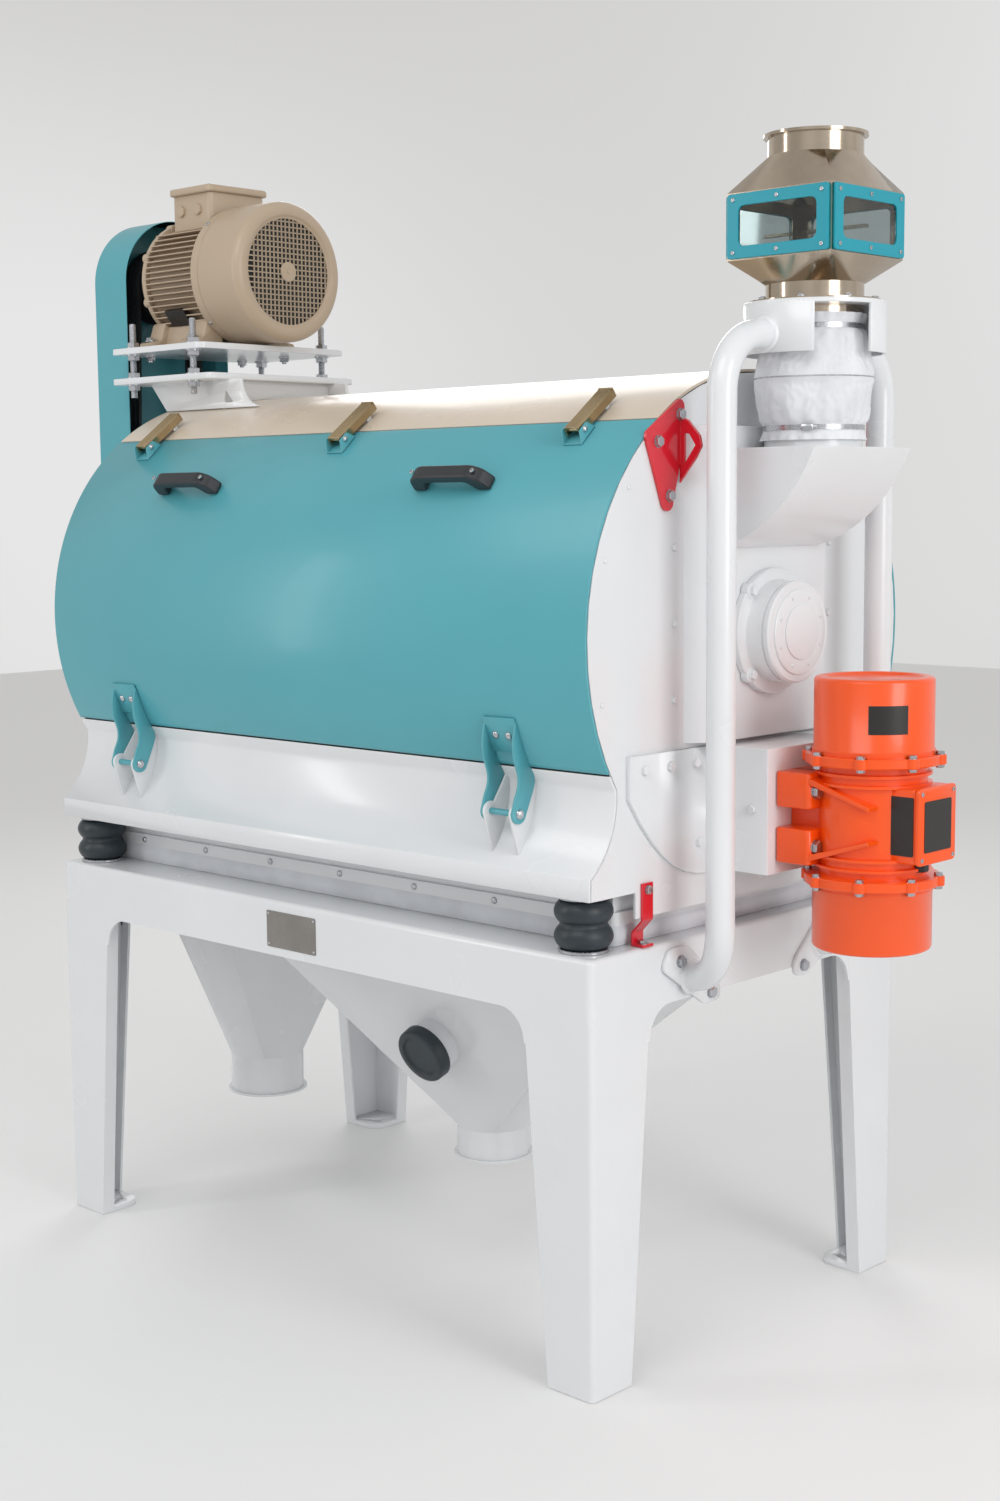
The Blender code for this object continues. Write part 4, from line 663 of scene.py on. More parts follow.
def make_legs():
    """Folded legs on foot plates with an anchor hole."""
    skin = 0.0065
    for end, side_x in (("left", -1), ("right", 1)):
        for face, side_y in (("front", -1), ("rear", 1)):
            loops = [leg_loop(FOOT_WIDTH, 0.001), leg_loop(LEG_WIDTH, FASCIA_Z),
                     leg_loop(LEG_WIDTH, FASCIA_Z, skin), leg_loop(LEG_WIDTH, LIP_Z - GAP, skin)]
            leg = loft("leg", loops)
            reach = FOOT_WIDTH / 3
            nose = arc((FOOT_WIDTH - reach, FOOT_WIDTH - reach), reach, 0, 90, 12)
            outline = [(0.003, 0.003), (FOOT_WIDTH, 0.003)] + nose + [(0.003, FOOT_WIDTH)]
            plate = prism("plate", [(FRAME_X - u, FRAME_Y - v) for u, v in outline], "Z", 0.0, 0.012)
            hole = FOOT_WIDTH * 0.6 + 0.006
            cut(plate, rod("hole", (FRAME_X - hole, FRAME_Y - hole, 0.0), UP, 0.009, (-0.01, 0.02)))
            shape = merged("leg_" + face + "_" + end + "_sheet", [leg, soften(plate, 0.0012, 2, 50)])
            if side_x < 0:
                mirrored(shape, "X")
            if side_y < 0:
                mirrored(shape, "Y")
            dress(shape, "root", "white_paint", ("leg_" + face + "_" + end,))
    make_fillets()


def make_fillets():
    """Round gussets between the legs and the fascia, just behind their faces."""
    reach = 0.060
    sheet = 0.006
    overlap = 0.014
    fillets = []
    for side in (-1, 1):
        for half, face, axis in ((FRAME_X, FRAME_Y, "Y"), (FRAME_Y, FRAME_X, "X")):
            inner = half - LEG_WIDTH
            outline = [(inner + overlap, FASCIA_Z), (inner - reach, FASCIA_Z)]
            outline += arc((inner - reach, FASCIA_Z - reach), reach, 90, 0, 16)
            outline.append((inner + overlap, FASCIA_Z - reach))
            outline = [(side * u, z) for u, z in outline]
            for front in (-1, 1):
                span = sorted((front * (face - sheet), front * (face - GAP)))
                fillets.append(prism("fillet", outline, axis, *span))
    dress(merged("stand_fillets", fillets), "root", "white_paint")


def hopper_sheet(node, bend_x, spout_x, spout_radius, neck_z):
    """Sheet hopper from the deck opening to its round spout."""
    per_side = 24
    skin = 0.004
    half_y = high(node).y
    top_x = (low(node).x, high(node).x)
    top_z = high(node).z
    lip = 0.007

    def rectangle_at(span, half, z, inset):
        return rectangle_loop((span[0] + inset, span[1] - inset), (inset - half, half - inset), z, per_side)

    def circle_at(radius, z):
        return circle_loop((spout_x, 0.0), radius, z, 4 * per_side)

    lip_z = SPOUT_Z + 0.005
    loops = [rectangle_at(top_x, half_y, top_z, 0), rectangle_at(top_x, half_y, LIP_Z, 0),
             rectangle_at(bend_x, HOPPER_BEND_Y, HOPPER_BEND_Z, 0),
             circle_at(spout_radius, neck_z), circle_at(spout_radius, lip_z),
             circle_at(spout_radius + lip, lip_z), circle_at(spout_radius + lip, SPOUT_Z),
             circle_at(spout_radius - skin, SPOUT_Z), circle_at(spout_radius - skin, neck_z),
             rectangle_at(bend_x, HOPPER_BEND_Y, HOPPER_BEND_Z, skin),
             rectangle_at(top_x, half_y, LIP_Z, skin), rectangle_at(top_x, half_y, top_z, skin)]
    return loft(node + "_sheet", loops, ring=True, sharp=14)


def make_hoppers():
    """Two sheet hoppers, the flour hopper with a cleaning port and its cap."""
    bran = hopper_sheet("bran_hopper", (-0.720, -0.510), -0.657, 0.086, 0.290)
    dress(bran, "root", "white_paint", ("bran_hopper",))
    spout_x, spout_radius, neck_z = 0.093, 0.078, 0.265
    flour = hopper_sheet("flour_hopper", (-0.450, 0.620), spout_x, spout_radius, neck_z)
    drop = HOPPER_BEND_Z - neck_z
    lean = HOPPER_BEND_Y - spout_radius
    port_z = 0.475
    axis = Vector((0.0, -drop, -lean)).normalized()
    face = Vector((spout_x, -(spout_radius + lean * (port_z - neck_z) / drop), port_z))
    port_radius = 0.055
    port_length = 0.055
    rim = rod("port", face, axis, port_radius, (-0.004, port_length), sides=64)
    boolean(flour, rim, "UNION")
    cut(flour, rod("bore", face, axis, port_radius - 0.004, (-0.030, 0.08), sides=64))
    flour.data.set_sharp_from_angle(angle=math.radians(14))
    dress(flour, "root", "white_paint", ("flour_hopper",))
    cap = 0.0615
    cap_end = port_length + 0.006
    cap_start = port_length - 0.022
    profile = [(port_radius + GAP, port_length + GAP), (port_radius + GAP, cap_start),
               (cap - 0.001, cap_start), (cap, cap_start + 0.001), (cap - 0.001, cap_end - 0.005),
               (cap - 0.003, cap_end - 0.0015), (cap - 0.006, cap_end), (0.046, cap_end),
               (0.042, cap_end - 0.0045), (0.001, cap_end - 0.0045), (0.001, port_length + GAP)]
    dress(turned("port_cap_moulding", profile, face, axis, ring=True), "port_cap", "rubber", ("port_cap",))


# ================================================================ buffers, locks and seal
def make_buffers():
    """Rubber buffers with two soft bulges between steel washers."""
    for node in ("buffer_front_left", "buffer_front_right", "buffer_rear_left", "buffer_rear_right"):
        centre = middle(node)
        foot = low(node).z
        height = high(node).z - foot
        plate = 0.006
        profile = []
        steps = 40
        for index in range(steps + 1):
            share = index / steps
            wave = abs(math.sin(2 * math.pi * share))
            radius = 0.0385 + 0.0145 * wave ** 0.7
            if 0.4 < share < 0.6:
                radius = max(radius, 0.043)
            profile.append((radius, foot + plate + share * (height - 2 * plate)))
        body = turned(node + "_rubber", profile, (centre.x, centre.y, 0.0), UP, sharp=60)
        dress(body, "root", "rubber", (node,), stay=True)
        blend_up(body)
        for name, level, owner in (("lower", foot, "root"), ("upper", foot + height - plate, "casing")):
            washer = rod(node + "_washer_" + name, (centre.x, centre.y, 0.0), UP, 0.046,
                         (level, level + plate), 0.0012)
            dress(washer, owner, "zinc")


def blend_up(shape):
    """Bake a piece's transform into its mesh."""
    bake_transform(shape)


def make_transport_locks():
    places = []
    for name, side in (("transport_lock_front", -1), ("transport_lock_rear", 1)):
        finish_node(name, "red_paint", 0.0012, 3)
        y = middle(name).y
        places.append(((CASING_X + GAP + 0.0052, y, 0.904), X_AXIS))
        places.append(((FRAME_X - 0.012, y, STAND_TOP + 0.0055), UP))
    fasteners("transport_lock_bolts", "hex", places, 0.0075, "root")


def seal_path(half_x, half_y, radius, spacing):
    """(point, outward normal) pairs round a rounded rectangle."""
    corners = ((half_x - radius, half_y - radius, 0), (radius - half_x, half_y - radius, 90),
               (radius - half_x, radius - half_y, 180), (half_x - radius, radius - half_y, 270))
    path = []
    for index, (x, y, start) in enumerate(corners):
        for step in range(7):
            angle = math.radians(start + 15 * step)
            normal = Vector((math.cos(angle), math.sin(angle), 0.0))
            path.append((Vector((x, y, 0.0)) + normal * radius, normal))
        after = corners[(index + 1) % 4]
        normal = path[-1][1]
        start_point = path[-1][0]
        end_point = Vector((after[0], after[1], 0.0)) + normal * radius
        count = int((end_point - start_point).length / spacing)
        for step in range(1, count):
            path.append((start_point.lerp(end_point, step / count), normal))
    return path


def band_round(name, path, section):
    """Sweep a closed (outward, height) section round a path of points and normals."""
    loops = [[point + normal * out + Vector((0.0, 0.0, z)) for out, z in section] for point, normal in path]
    return loft(name, loops, ring=True, sharp=50)


def make_seal():
    """Cloth seal round the trough, its top held by a strip with dome bolts."""
    start = low("seal_skirt").z
    end = high("seal_skirt").z
    half_x = high("seal_skirt").x - 0.004
    half_y = high("seal_skirt").y - 0.004
    path = seal_path(half_x, half_y, 0.012, 0.012)
    rows = 14
    thickness = 0.002
    loops = []
    for point, normal in path:
        outer = []
        inner = []
        for row in range(rows + 1):
            share = row / rows
            belly = math.sin(math.pi * min(1.0, share / 0.62)) if share < 0.62 else 0.0
            slack = 0.5 + 0.5 * noise.noise(point * 2.7)
            crease = noise.noise(Vector((point.x * 16, point.y * 16, share * 2.2)))
            out = 0.0008 + belly * (0.0035 + 0.0035 * slack + 0.0030 * crease)
            z = start + share * (end - start)
            outer.append(point + normal * (out + thickness) + Vector((0.0, 0.0, z)))
            inner.append(point + normal * out + Vector((0.0, 0.0, z)))
        loops.append(outer + list(reversed(inner)))
    cloth_piece = loft("seal_cloth", loops, ring=True, sharp=60)
    dress(cloth_piece, "root", "seal_fabric", ("seal_skirt",), stay=True)
    blend_up(cloth_piece)
    strip_low = end - 0.026
    strip = band_round("seal_strip", path, [(0.0031, strip_low), (0.0062, strip_low + 0.001),
                                            (0.0062, end - 0.001), (0.0031, end)])
    dress(strip, "casing", "white_paint")
    level = (strip_low + end) / 2
    spacing = 0.215
    places = []
    for index in range(6):
        x = -0.625 + index * spacing
        places.append(((x, -half_y - 0.0062, level), (0, -1, 0)))
    for index in range(3):
        places.append(((half_x + 0.0062, (index - 1) * spacing, level), X_AXIS))
        places.append(((-half_x - 0.0062, (index - 1) * spacing, level), (-1, 0, 0)))
    places += both_sides(places[:6])[6:]
    fasteners("seal_bolts", "dome", places, 0.0068, "casing")


# ================================================================ inlet
NECK = 0.0875
POST_Y = 0.244
POST_X = INLET_X - 0.019
POST_RADIUS = 0.026
POST_BEND = 0.105
COLLAR_RADIUS = 0.127
SIGHT_HALF = 0.111
SIGHT_Z = (middle("sight_window_front").z - 0.0585, middle("sight_window_front").z + 0.0585)
INLET_TOP = high("sight_box").z


def make_posts():
    """Bent tubes with welded plates that are bolted to the stand."""
    face = FRAME_X + GAP
    plate = 0.008
    for node, side in (("inlet_post_front", -1), ("inlet_post_rear", 1)):
        start = Vector((face + plate / 2, -0.204, 0.728))
        first = start + Vector((0.055, 0.0, 0.0))
        end = Vector((POST_X, -POST_Y, 0.845))
        last = end - Vector((0.0, 0.0, 0.065))
        path = []
        for index in range(25):
            t = index / 24
            path.append(start * (1 - t) ** 3 + first * 3 * t * (1 - t) ** 2
                        + last * 3 * t ** 2 * (1 - t) + end * t ** 3)
        bend_z = COLLAR_Z - 0.059 - POST_BEND
        for y, z in arc((POST_BEND - POST_Y, bend_z), POST_BEND, 180, 90, 20):
            path.append(Vector((POST_X, y, z)))
        path.append(Vector((POST_X, -COLLAR_RADIUS - GAP, path[-1].z)))
        outline = rounded([(-0.268, 0.788), (-0.212, 0.788), (-0.118, 0.702), (-0.118, 0.672),
                           (-0.162, 0.668), (-0.286, 0.752)], 0.014)
        weld = Vector((face + plate, -0.204, 0.728))
        bead = turned("bead", [(0.022, 0.0), (0.0325, 0.0), (0.030, 0.0035), (0.027, 0.006), (0.022, 0.006)],
                      weld, (1, 0, 0), ring=True, sides=40)
        foot = soften(prism("foot", outline, "X", face, face + plate), 0.0012)
        post = merged(node + "_tube", [tube("post", path, POST_RADIUS, 40), foot, bead])
        if side > 0:
            mirrored(post, "Y")
        dress(post, "root", "white_paint", (node,))
    places = [((face + plate, y, z), (1, 0, 0)) for y, z in ((-0.236, 0.762), (-0.146, 0.690))]
    fasteners("post_bolts", "hex", both_sides(places), 0.0105, "root")


def make_collar():
    """Ring plate with two curved shells, welded to the posts."""
    centre = (INLET_X, 0.0)
    inner = NECK + GAP
    ring_z = COLLAR_Z - 0.008
    origin = (INLET_X, 0.0, 0.0)
    edge = 0.0012
    parts = [turned("ring", [(inner, ring_z), (COLLAR_RADIUS - edge, ring_z), (COLLAR_RADIUS, ring_z + edge),
                             (COLLAR_RADIUS, COLLAR_Z - edge), (COLLAR_RADIUS - edge, COLLAR_Z),
                             (inner, COLLAR_Z)], origin, UP, ring=True)]
    for start in (-5, 175):
        outline = arc(centre, COLLAR_RADIUS, start, start + 130, 40)
        outline += arc(centre, COLLAR_RADIUS - 0.006, start + 130, start, 40)
        parts.append(soften(prism("shell", outline, "Z", COLLAR_Z - 0.091, COLLAR_Z - 0.003), 0.001))
    for side in (-1, 1):
        bead_z = COLLAR_Z - 0.059
        parts.append(turned("bead", [(0.022, 0.0), (0.033, 0.0), (0.030, 0.004), (0.0265, 0.006),
                                     (0.022, 0.006)],
                            (POST_X, side * (COLLAR_RADIUS - 0.001), bead_z), (0, side, 0),
                            ring=True, sides=40))
    dress(merged("collar_ring", parts), "root", "white_paint", ("inlet_collar",))
    flange_top = (INLET_X, 0.0, COLLAR_Z + 0.0035)
    places = [(spot, UP) for spot, _ in round_places(flange_top, "Z", 0.108, 8, 22.5)]
    fasteners("collar_bolts", "hex", places, 0.006, "root")


def make_sight_box():
    """Bright stainless inlet, round to square and back, with four windows cut in it."""
    per_side = 24
    skin = 0.003
    top_neck = NECK - 0.003
    flange_z = COLLAR_Z + GAP

    def circle_at(radius, z):
        return circle_loop((INLET_X, 0.0), radius, z, 4 * per_side)

    def square_at(reach, z):
        return rectangle_loop((INLET_X - reach, INLET_X + reach), (-reach, reach), z, per_side)

    rim_z = INLET_TOP - 0.005
    cone_z = SIGHT_Z[1] + 0.063
    foot_z = SIGHT_Z[0] - 0.042
    neck_end = COLLAR_Z - 0.064
    loops = [circle_at(top_neck + 0.008, INLET_TOP), circle_at(top_neck + 0.008, rim_z),
             circle_at(top_neck, rim_z), circle_at(top_neck, cone_z),
             square_at(SIGHT_HALF, SIGHT_Z[1]), square_at(SIGHT_HALF, SIGHT_Z[0]),
             circle_at(NECK, foot_z), circle_at(NECK, flange_z + skin),
             circle_at(COLLAR_RADIUS - 0.009, flange_z + skin), circle_at(COLLAR_RADIUS - 0.009, flange_z),
             circle_at(NECK, flange_z), circle_at(NECK, neck_end),
             circle_at(NECK - skin, neck_end), circle_at(NECK - skin, foot_z),
             square_at(SIGHT_HALF - skin, SIGHT_Z[0]), square_at(SIGHT_HALF - skin, SIGHT_Z[1]),
             circle_at(top_neck - skin, cone_z), circle_at(top_neck - skin, INLET_TOP)]
    shape = loft("sight_box_sheet", loops, ring=True, sharp=14)
    centre_z = sum(SIGHT_Z) / 2
    wide, tall = 0.084, 0.036
    level = (centre_z - tall, centre_z + tall)
    far = 2 * SIGHT_HALF
    cut(shape, block("window", (INLET_X - wide, INLET_X + wide), (-far, far), level))
    cut(shape, block("window", (INLET_X - far, INLET_X + far), (-wide, wide), level))
    shape.data.set_sharp_from_angle(angle=math.radians(14))
    dress(shape, "root", "stainless", ("sight_box",))


def make_windows():
    """Screwed teal frames with glass panes and an inner cross bar."""
    centre_z = sum(SIGHT_Z) / 2
    screws = []
    for name, out in (("front", (0, -1, 0)), ("rear", (0, 1, 0)), ("left", (-1, 0, 0)), ("right", (1, 0, 0))):
        out = Vector(out)
        across = UP.cross(out)
        origin = Vector((INLET_X, 0.0, centre_z)) + out * SIGHT_HALF
        border = rounded(rectangle((-0.107, 0.107), (-0.056, 0.056)), 0.006)
        opening = rounded(rectangle((-0.083, 0.083), (-0.035, 0.035)), 0.014, 8)
        rim = framed_prism("rim", border, origin, across, UP, out, (GAP, 0.0055))
        cut(rim, framed_prism("opening", opening, origin, across, UP, out, (-0.01, 0.02)))
        soften(rim, 0.0009, 2, 50)
        dress(rim, "root", "frame_teal", ("sight_window_" + name,)).name = "window_frame_" + name
        pane = framed_prism("window_pane_" + name, rectangle((-0.0829, 0.0829), (-0.0349, 0.0349)),
                            origin, across, UP, out, (GAP, 0.0026))
        dress(pane, "root", "glass")
        for u in (-0.094, 0.0, 0.094):
            for v in (-0.0455, 0.0455):
                screws.append((origin + across * u + UP * v + out * 0.0055, out))
    fasteners("window_screws", "socket", screws, 0.0042, "root")
    bar_piece = block("inner_bar", (INLET_X - 0.1075, INLET_X + 0.1075), (-0.006, 0.006),
                      (centre_z - 0.010, centre_z - 0.004))
    dress(soften(bar_piece, 0.001), "root", "stainless")


CLOTH_REST = NECK + 0.0012         # inside of the sleeve where it lies on the necks
CLOTH_SWELL = 0.0135
CLOTH_HOOP = 0.0030                # how far the wire holds the sleeve out


def cloth_radius(angle, share):
    """Radius of the sleeve round its axis; share is 0 at the lower edge and 1 at the upper."""
    hem, clamped = 0.07, 0.13
    edge = min(share, 1 - share)
    if edge < hem:
        wave = math.sin(angle * 26) * 0.6 + math.sin(angle * 17 + 1.3) * 0.4
        return CLOTH_REST + (hem - edge) / hem * (0.0042 + 0.0026 * wave)
    if edge < clamped:
        return CLOTH_REST
    inner = (share - clamped) / (1 - 2 * clamped)
    swell = math.sin(math.pi * inner) ** 0.55
    hoop = math.exp(-((inner - 0.5) / 0.05) ** 2)
    near = math.exp(-min(inner, 1 - inner) / 0.14) * min(1.0, 22 * min(inner, 1 - inner))
    fold = math.sin(angle * 21 + 2.2 * math.sin(angle * 2)) * 0.0034 * near
    spot = Vector((math.cos(angle) * 1.8, math.sin(angle) * 1.8, share * 3.1))
    crumple = noise.noise(spot * 1.6) * 0.0060 - abs(noise.noise(spot * 4.0)) * 0.0045
    radius = CLOTH_REST + CLOTH_SWELL * swell + CLOTH_HOOP * hoop + fold + crumple * swell * (1 - hoop)
    return max(CLOTH_REST, radius)


def make_sleeve():
    """Cloth sleeve between the necks, with two band clamps and a wire hoop."""
    start = low("inlet_sleeve").z
    end = high("inlet_sleeve").z
    around = 260
    rows = 72
    thickness = 0.0016
    loops = []
    for index in range(around):
        angle = 2 * math.pi * index / around
        outward = Vector((math.cos(angle), math.sin(angle), 0.0))
        outer = []
        inner = []
        for row in range(rows + 1):
            share = row / rows
            level = Vector((INLET_X, 0.0, start + share * (end - start)))
            radius = cloth_radius(angle, share)
            outer.append(level + outward * (radius + thickness))
            inner.append(level + outward * radius)
        loops.append(outer + list(reversed(inner)))
    sleeve = loft("sleeve_cloth", loops, ring=True, sharp=70)
    dress(sleeve, "root", "sleeve_fabric", ("inlet_sleeve",), stay=True)
    blend_up(sleeve)
    for name, level, owner in (("lower", start + 0.022, "casing"), ("upper", end - 0.022, "root")):
        section = rectangle((NECK + 0.0029, NECK + 0.0040), (level - 0.0045, level + 0.0045))
        band = turned("band", section, (INLET_X, 0.0, 0.0), UP, ring=True, sides=128)
        turn = math.radians(-62)
        out = Vector((math.cos(turn), math.sin(turn), 0.0))
        spot = Vector((INLET_X, 0.0, level)) + out * (NECK + 0.007)
        side = UP.cross(out)
        housing = soften(framed_prism("housing", rectangle((-0.011, 0.011), (-0.0055, 0.0055)), spot, side,
                                      UP, out, (-0.003, 0.004)), 0.0015)
        worm = rod("worm", spot + side * 0.010, side, 0.0035, (0.0, 0.008))
        band = merged("sleeve_clamp_" + name, [band, housing, worm])
        dress(band, owner, "zinc")
    hoop_radius = CLOTH_REST + CLOTH_SWELL + CLOTH_HOOP + thickness + 0.0006
    hoop = [Vector((INLET_X + u, v, (start + end) / 2)) for u, v in arc((0, 0), hoop_radius, 0, 357.5, 143)]
    wire = dress(tube("sleeve_wire", hoop, 0.0011, 8, closed=True), "root", "zinc", stay=True)
    blend_up(wire)


# ================================================================ casing
DOOR_TOP_ANGLE = 53.4
DOOR_BOTTOM_Z = 1.118
DOOR_GAP = 0.003
SKIRT_CENTRE = (-0.570, 1.078)     # of the hollow curve below the doors
SKIRT_RADIUS = 0.170
SKIRT_LIP_Y = 0.470
PANEL_HALF = 0.175
DRUM_CENTRE = (0.0, DRUM_Z)


def drum_frame(angle):
    """Outward and upward unit directions at an angle on the front of the drum."""
    turn = math.radians(angle)
    return (Vector((0.0, math.cos(turn), math.sin(turn))),
            Vector((0.0, math.sin(turn), -math.cos(turn))))


def on_drum(x, angle, height=0.0):
    outward, _ = drum_frame(angle)
    return Vector((x, 0.0, DRUM_Z)) + outward * (DRUM_RADIUS + height)


def sheet_outline(start, end, steps):
    """Section of a curved sheet of the drum, from angle to angle."""
    return (arc(DRUM_CENTRE, DRUM_RADIUS, start, end, steps)
            + arc(DRUM_CENTRE, DRUM_RADIUS - SHEET, end, start, steps))


def waist(inset):
    """Where the drum's circle meets the hollow curve, on the front side."""
    drum = DRUM_RADIUS - inset
    hollow = SKIRT_RADIUS + inset
    across = Vector((SKIRT_CENTRE[0], SKIRT_CENTRE[1] - DRUM_Z))
    span = across.length
    along = (drum ** 2 - hollow ** 2 + span ** 2) / (2 * span)
    aside = math.sqrt(drum ** 2 - along ** 2)
    ahead = across.normalized()
    point = ahead * along + Vector((-ahead.y, ahead.x)) * aside
    return (point.x, DRUM_Z + point.y)


def front_y(z, inset):
    """Y of the front of the casing at a height."""
    if z >= waist(inset)[1]:
        return -math.sqrt((DRUM_RADIUS - inset) ** 2 - (z - DRUM_Z) ** 2)
    return SKIRT_CENTRE[0] + math.sqrt((SKIRT_RADIUS + inset) ** 2 - (z - SKIRT_CENTRE[1]) ** 2)


def hollow_curve(inset, steps):
    reach = SKIRT_RADIUS + inset
    point = waist(inset)
    start = math.degrees(math.atan2(point[1] - SKIRT_CENTRE[1], point[0] - SKIRT_CENTRE[0]))
    lip = (inset - SKIRT_LIP_Y - SKIRT_CENTRE[0]) / reach
    return arc(SKIRT_CENTRE, reach, start, -math.degrees(math.acos(lip)), steps)


def make_top_cover():
    outline = sheet_outline(DOOR_TOP_ANGLE, 180 - DOOR_TOP_ANGLE, 72)
    cover = soften(prism("top_cover_sheet", outline, "X", -CASING_X, CASING_X), 0.0009)
    dress(cover, "casing", "cover_paint", ("top_cover",))
    catches = []
    for side in (-1, 1):
        for latch_x in LATCH_X:
            origin, along, away = latch_frame(latch_x)
            reach = LATCH_LENGTH - 0.014
            outline = [(reach - 0.020, -0.026), (reach - 0.015, -0.004), (reach - 0.008, 0.0),
                       (reach - 0.001, -0.004), (reach + 0.001, -0.010), (reach - 0.005, -0.013),
                       (reach - 0.002, -0.026)]
            catch = framed_prism("catch", rounded(outline, 0.003), origin, along, away, X_AXIS,
                                 (-0.010, 0.010))
            soften(catch, 0.0008)
            catches.append(mirrored(apply_modifiers(catch), "Y") if side > 0 else catch)
    dress(merged("latch_catches", catches), "casing", "white_paint")


def make_skirts():
    """Hollow sheets below the doors, with the lugs of the door hinges."""
    for node, side in (("front_skirt", -1), ("rear_skirt", 1)):
        rows = []
        top = DOOR_BOTTOM_Z - DOOR_GAP
        for inset in (0.0, SHEET):
            waist_z = waist(inset)[1]
            points = []
            for index in range(6):
                z = top + (waist_z - top) * index / 6
                points.append((front_y(z, inset), z))
            points += hollow_curve(inset, 40)
            points.append((inset - SKIRT_LIP_Y, BASE_Z))
            rows.append(points)
        sheet = soften(prism("sheet", rows[0] + list(reversed(rows[1])), "X", -CASING_X, CASING_X), 0.0008)
        parts = [sheet]
        for centre_x in (-HINGE_X, HINGE_X):
            for edge in (-1, 1):
                outer = centre_x + edge * (HINGE_HALF_SPAN - 0.0053)
                inner = outer - edge * 0.005
                root = [(front_y(0.958 + 0.018 * index, 0.0025), 0.958 + 0.018 * index) for index in range(9)]
                eye = arc((-HINGE_Y, HINGE_Z), 0.018, 60, 200, 14)
                parts.append(soften(prism("lug", root + eye, "X", *sorted((inner, outer))), 0.0007))
        skirt = merged(node + "_sheet", parts)
        if side > 0:
            mirrored(skirt, "Y")
        dress(skirt, "casing", "white_paint", (node,))


def make_end_plates():
    for node, side in (("end_plate_left", -1), ("end_plate_right", 1)):
        finish_node(node, "white_paint", 0.004, 3)
        face = side * (CASING_X + 0.0002)
        places = []
        for y in (-1, 1):
            for index in range(4):
                z = 1.235 + 0.135 * index
                places.append(((face, y * (PANEL_HALF + 0.062), z), (side, 0, 0)))
        fasteners(node + "_bolts", "hex", places, 0.0062, "casing", "white_paint")
        rivets = []
        for angle in list(range(18, 163, 18)) + [-14, 194]:
            u, v = arc(DRUM_CENTRE, DRUM_RADIUS - 0.030, angle, angle, 1)[0]
            rivets.append(((face, u, v), (side, 0, 0)))
        fasteners(node + "_rivets", "dome", rivets, 0.0045, "casing", "white_paint")


def make_casing():
    make_top_cover()
    make_skirts()
    make_end_plates()
    finish_node("casing_base", "white_paint", 0.0010)


# ================================================================ drum inside
def make_drum():
    """Perforated screen between two partition rings, with hoops round it."""
    node = "screen_drum"
    start, end = low(node).x, high(node).x
    radius = 0.285
    partition = 0.420
    ring = 0.006
    origin = (0.0, 0.0, DRUM_Z)
    profile = [(radius - 0.003, start + ring), (radius, start + ring), (radius, end - ring),
               (radius - 0.003, end - ring)]
    dress(turned("screen_sheet", profile, origin, X_AXIS, ring=True), "casing", "sieve", (node,))
    plates = []
    for near, far in ((start, start + ring), (end - ring, end)):
        plates.append(turned("plate", [(radius - 0.003, near), (partition, near), (partition, far),
                                       (radius - 0.003, far)], origin, X_AXIS, ring=True))
    count = 5
    for index in range(1, count):
        level = start + (end - start) * index / count
        plates.append(turned("hoop", [(radius + GAP, level - 0.010), (radius + 0.012, level - 0.010),
                                      (radius + 0.012, level + 0.010), (radius + GAP, level + 0.010)],
                             origin, X_AXIS, ring=True))
    dress(merged("screen_rings", plates), "casing", "stainless")
    finish_node("beater_rotor", "steel", 0.0012)


def make_bearings():
    """Flanged housings with a cover ring, a groove and a small cap."""
    flange, hub, cover, cap = 0.116, 0.0935, 0.079, 0.050
    thick = 0.015
    boss = 0.018
    end = thick + 0.050
    for node, side in (("bearing_right", 1), ("bearing_left", -1)):
        out = Vector((side, 0.0, 0.0))
        base = Vector((side * (CHANNEL_X + GAP), 0.0, DRUM_Z))
        bore = 0.001 if side > 0 else 0.0304
        profile = [(bore, 0.0), (flange - 0.001, 0.0), (flange, 0.001), (flange, thick - 0.002),
                   (flange - 0.002, thick), (hub + 0.006, thick), (hub + 0.002, thick + 0.0015),
                   (hub, thick + 0.006), (hub, end - 0.017), (hub - 0.003, end - 0.016),
                   (hub - 0.003, end - 0.012), (hub, end - 0.011), (hub, end - 0.003),
                   (hub - 0.003, end), (cover, end), (cover - 0.001, end + 0.001),
                   (cover - 0.001, end + 0.0035), (cover - 0.003, end + 0.005),
                   (cap + 0.003, end + 0.005), (cap, end + 0.0055), (cap, end + 0.008),
                   (cap - 0.002, end + 0.009), (bore, end + 0.009)]
        parts = [turned("housing", profile, base, out, ring=side < 0)]
        corners = [spot for spot, _ in round_places(base, "X", 0.108, 4, 45)]
        for spot in corners:
            parts.append(rod("boss", spot, out, 0.0145, (0.0, boss), 0.002, 40))
        dress(merged(node + "_housing", parts), "casing", "white_paint", (node,))
        bolts = [(spot + out * boss, out) for spot in corners]
        face = base + out * (end + 0.005)
        screws = [(spot, out) for spot, _ in round_places(face, "X", cover - 0.013, 8, 22.5)]
        fasteners(node + "_bolts", "hex", bolts, 0.0085, "casing", "white_paint")
        fasteners(node + "_screws", "socket", screws, 0.0034, "casing", "white_paint")


# ================================================================ belt drive
PULLEY_X = -0.985
PULLEY_WIDTH = 0.070
MOTOR_PULLEY = 0.085
DRIVEN_PULLEY = 0.110
GROOVES = 4
GUARD_X = (low("belt_guard").x, high("belt_guard").x)


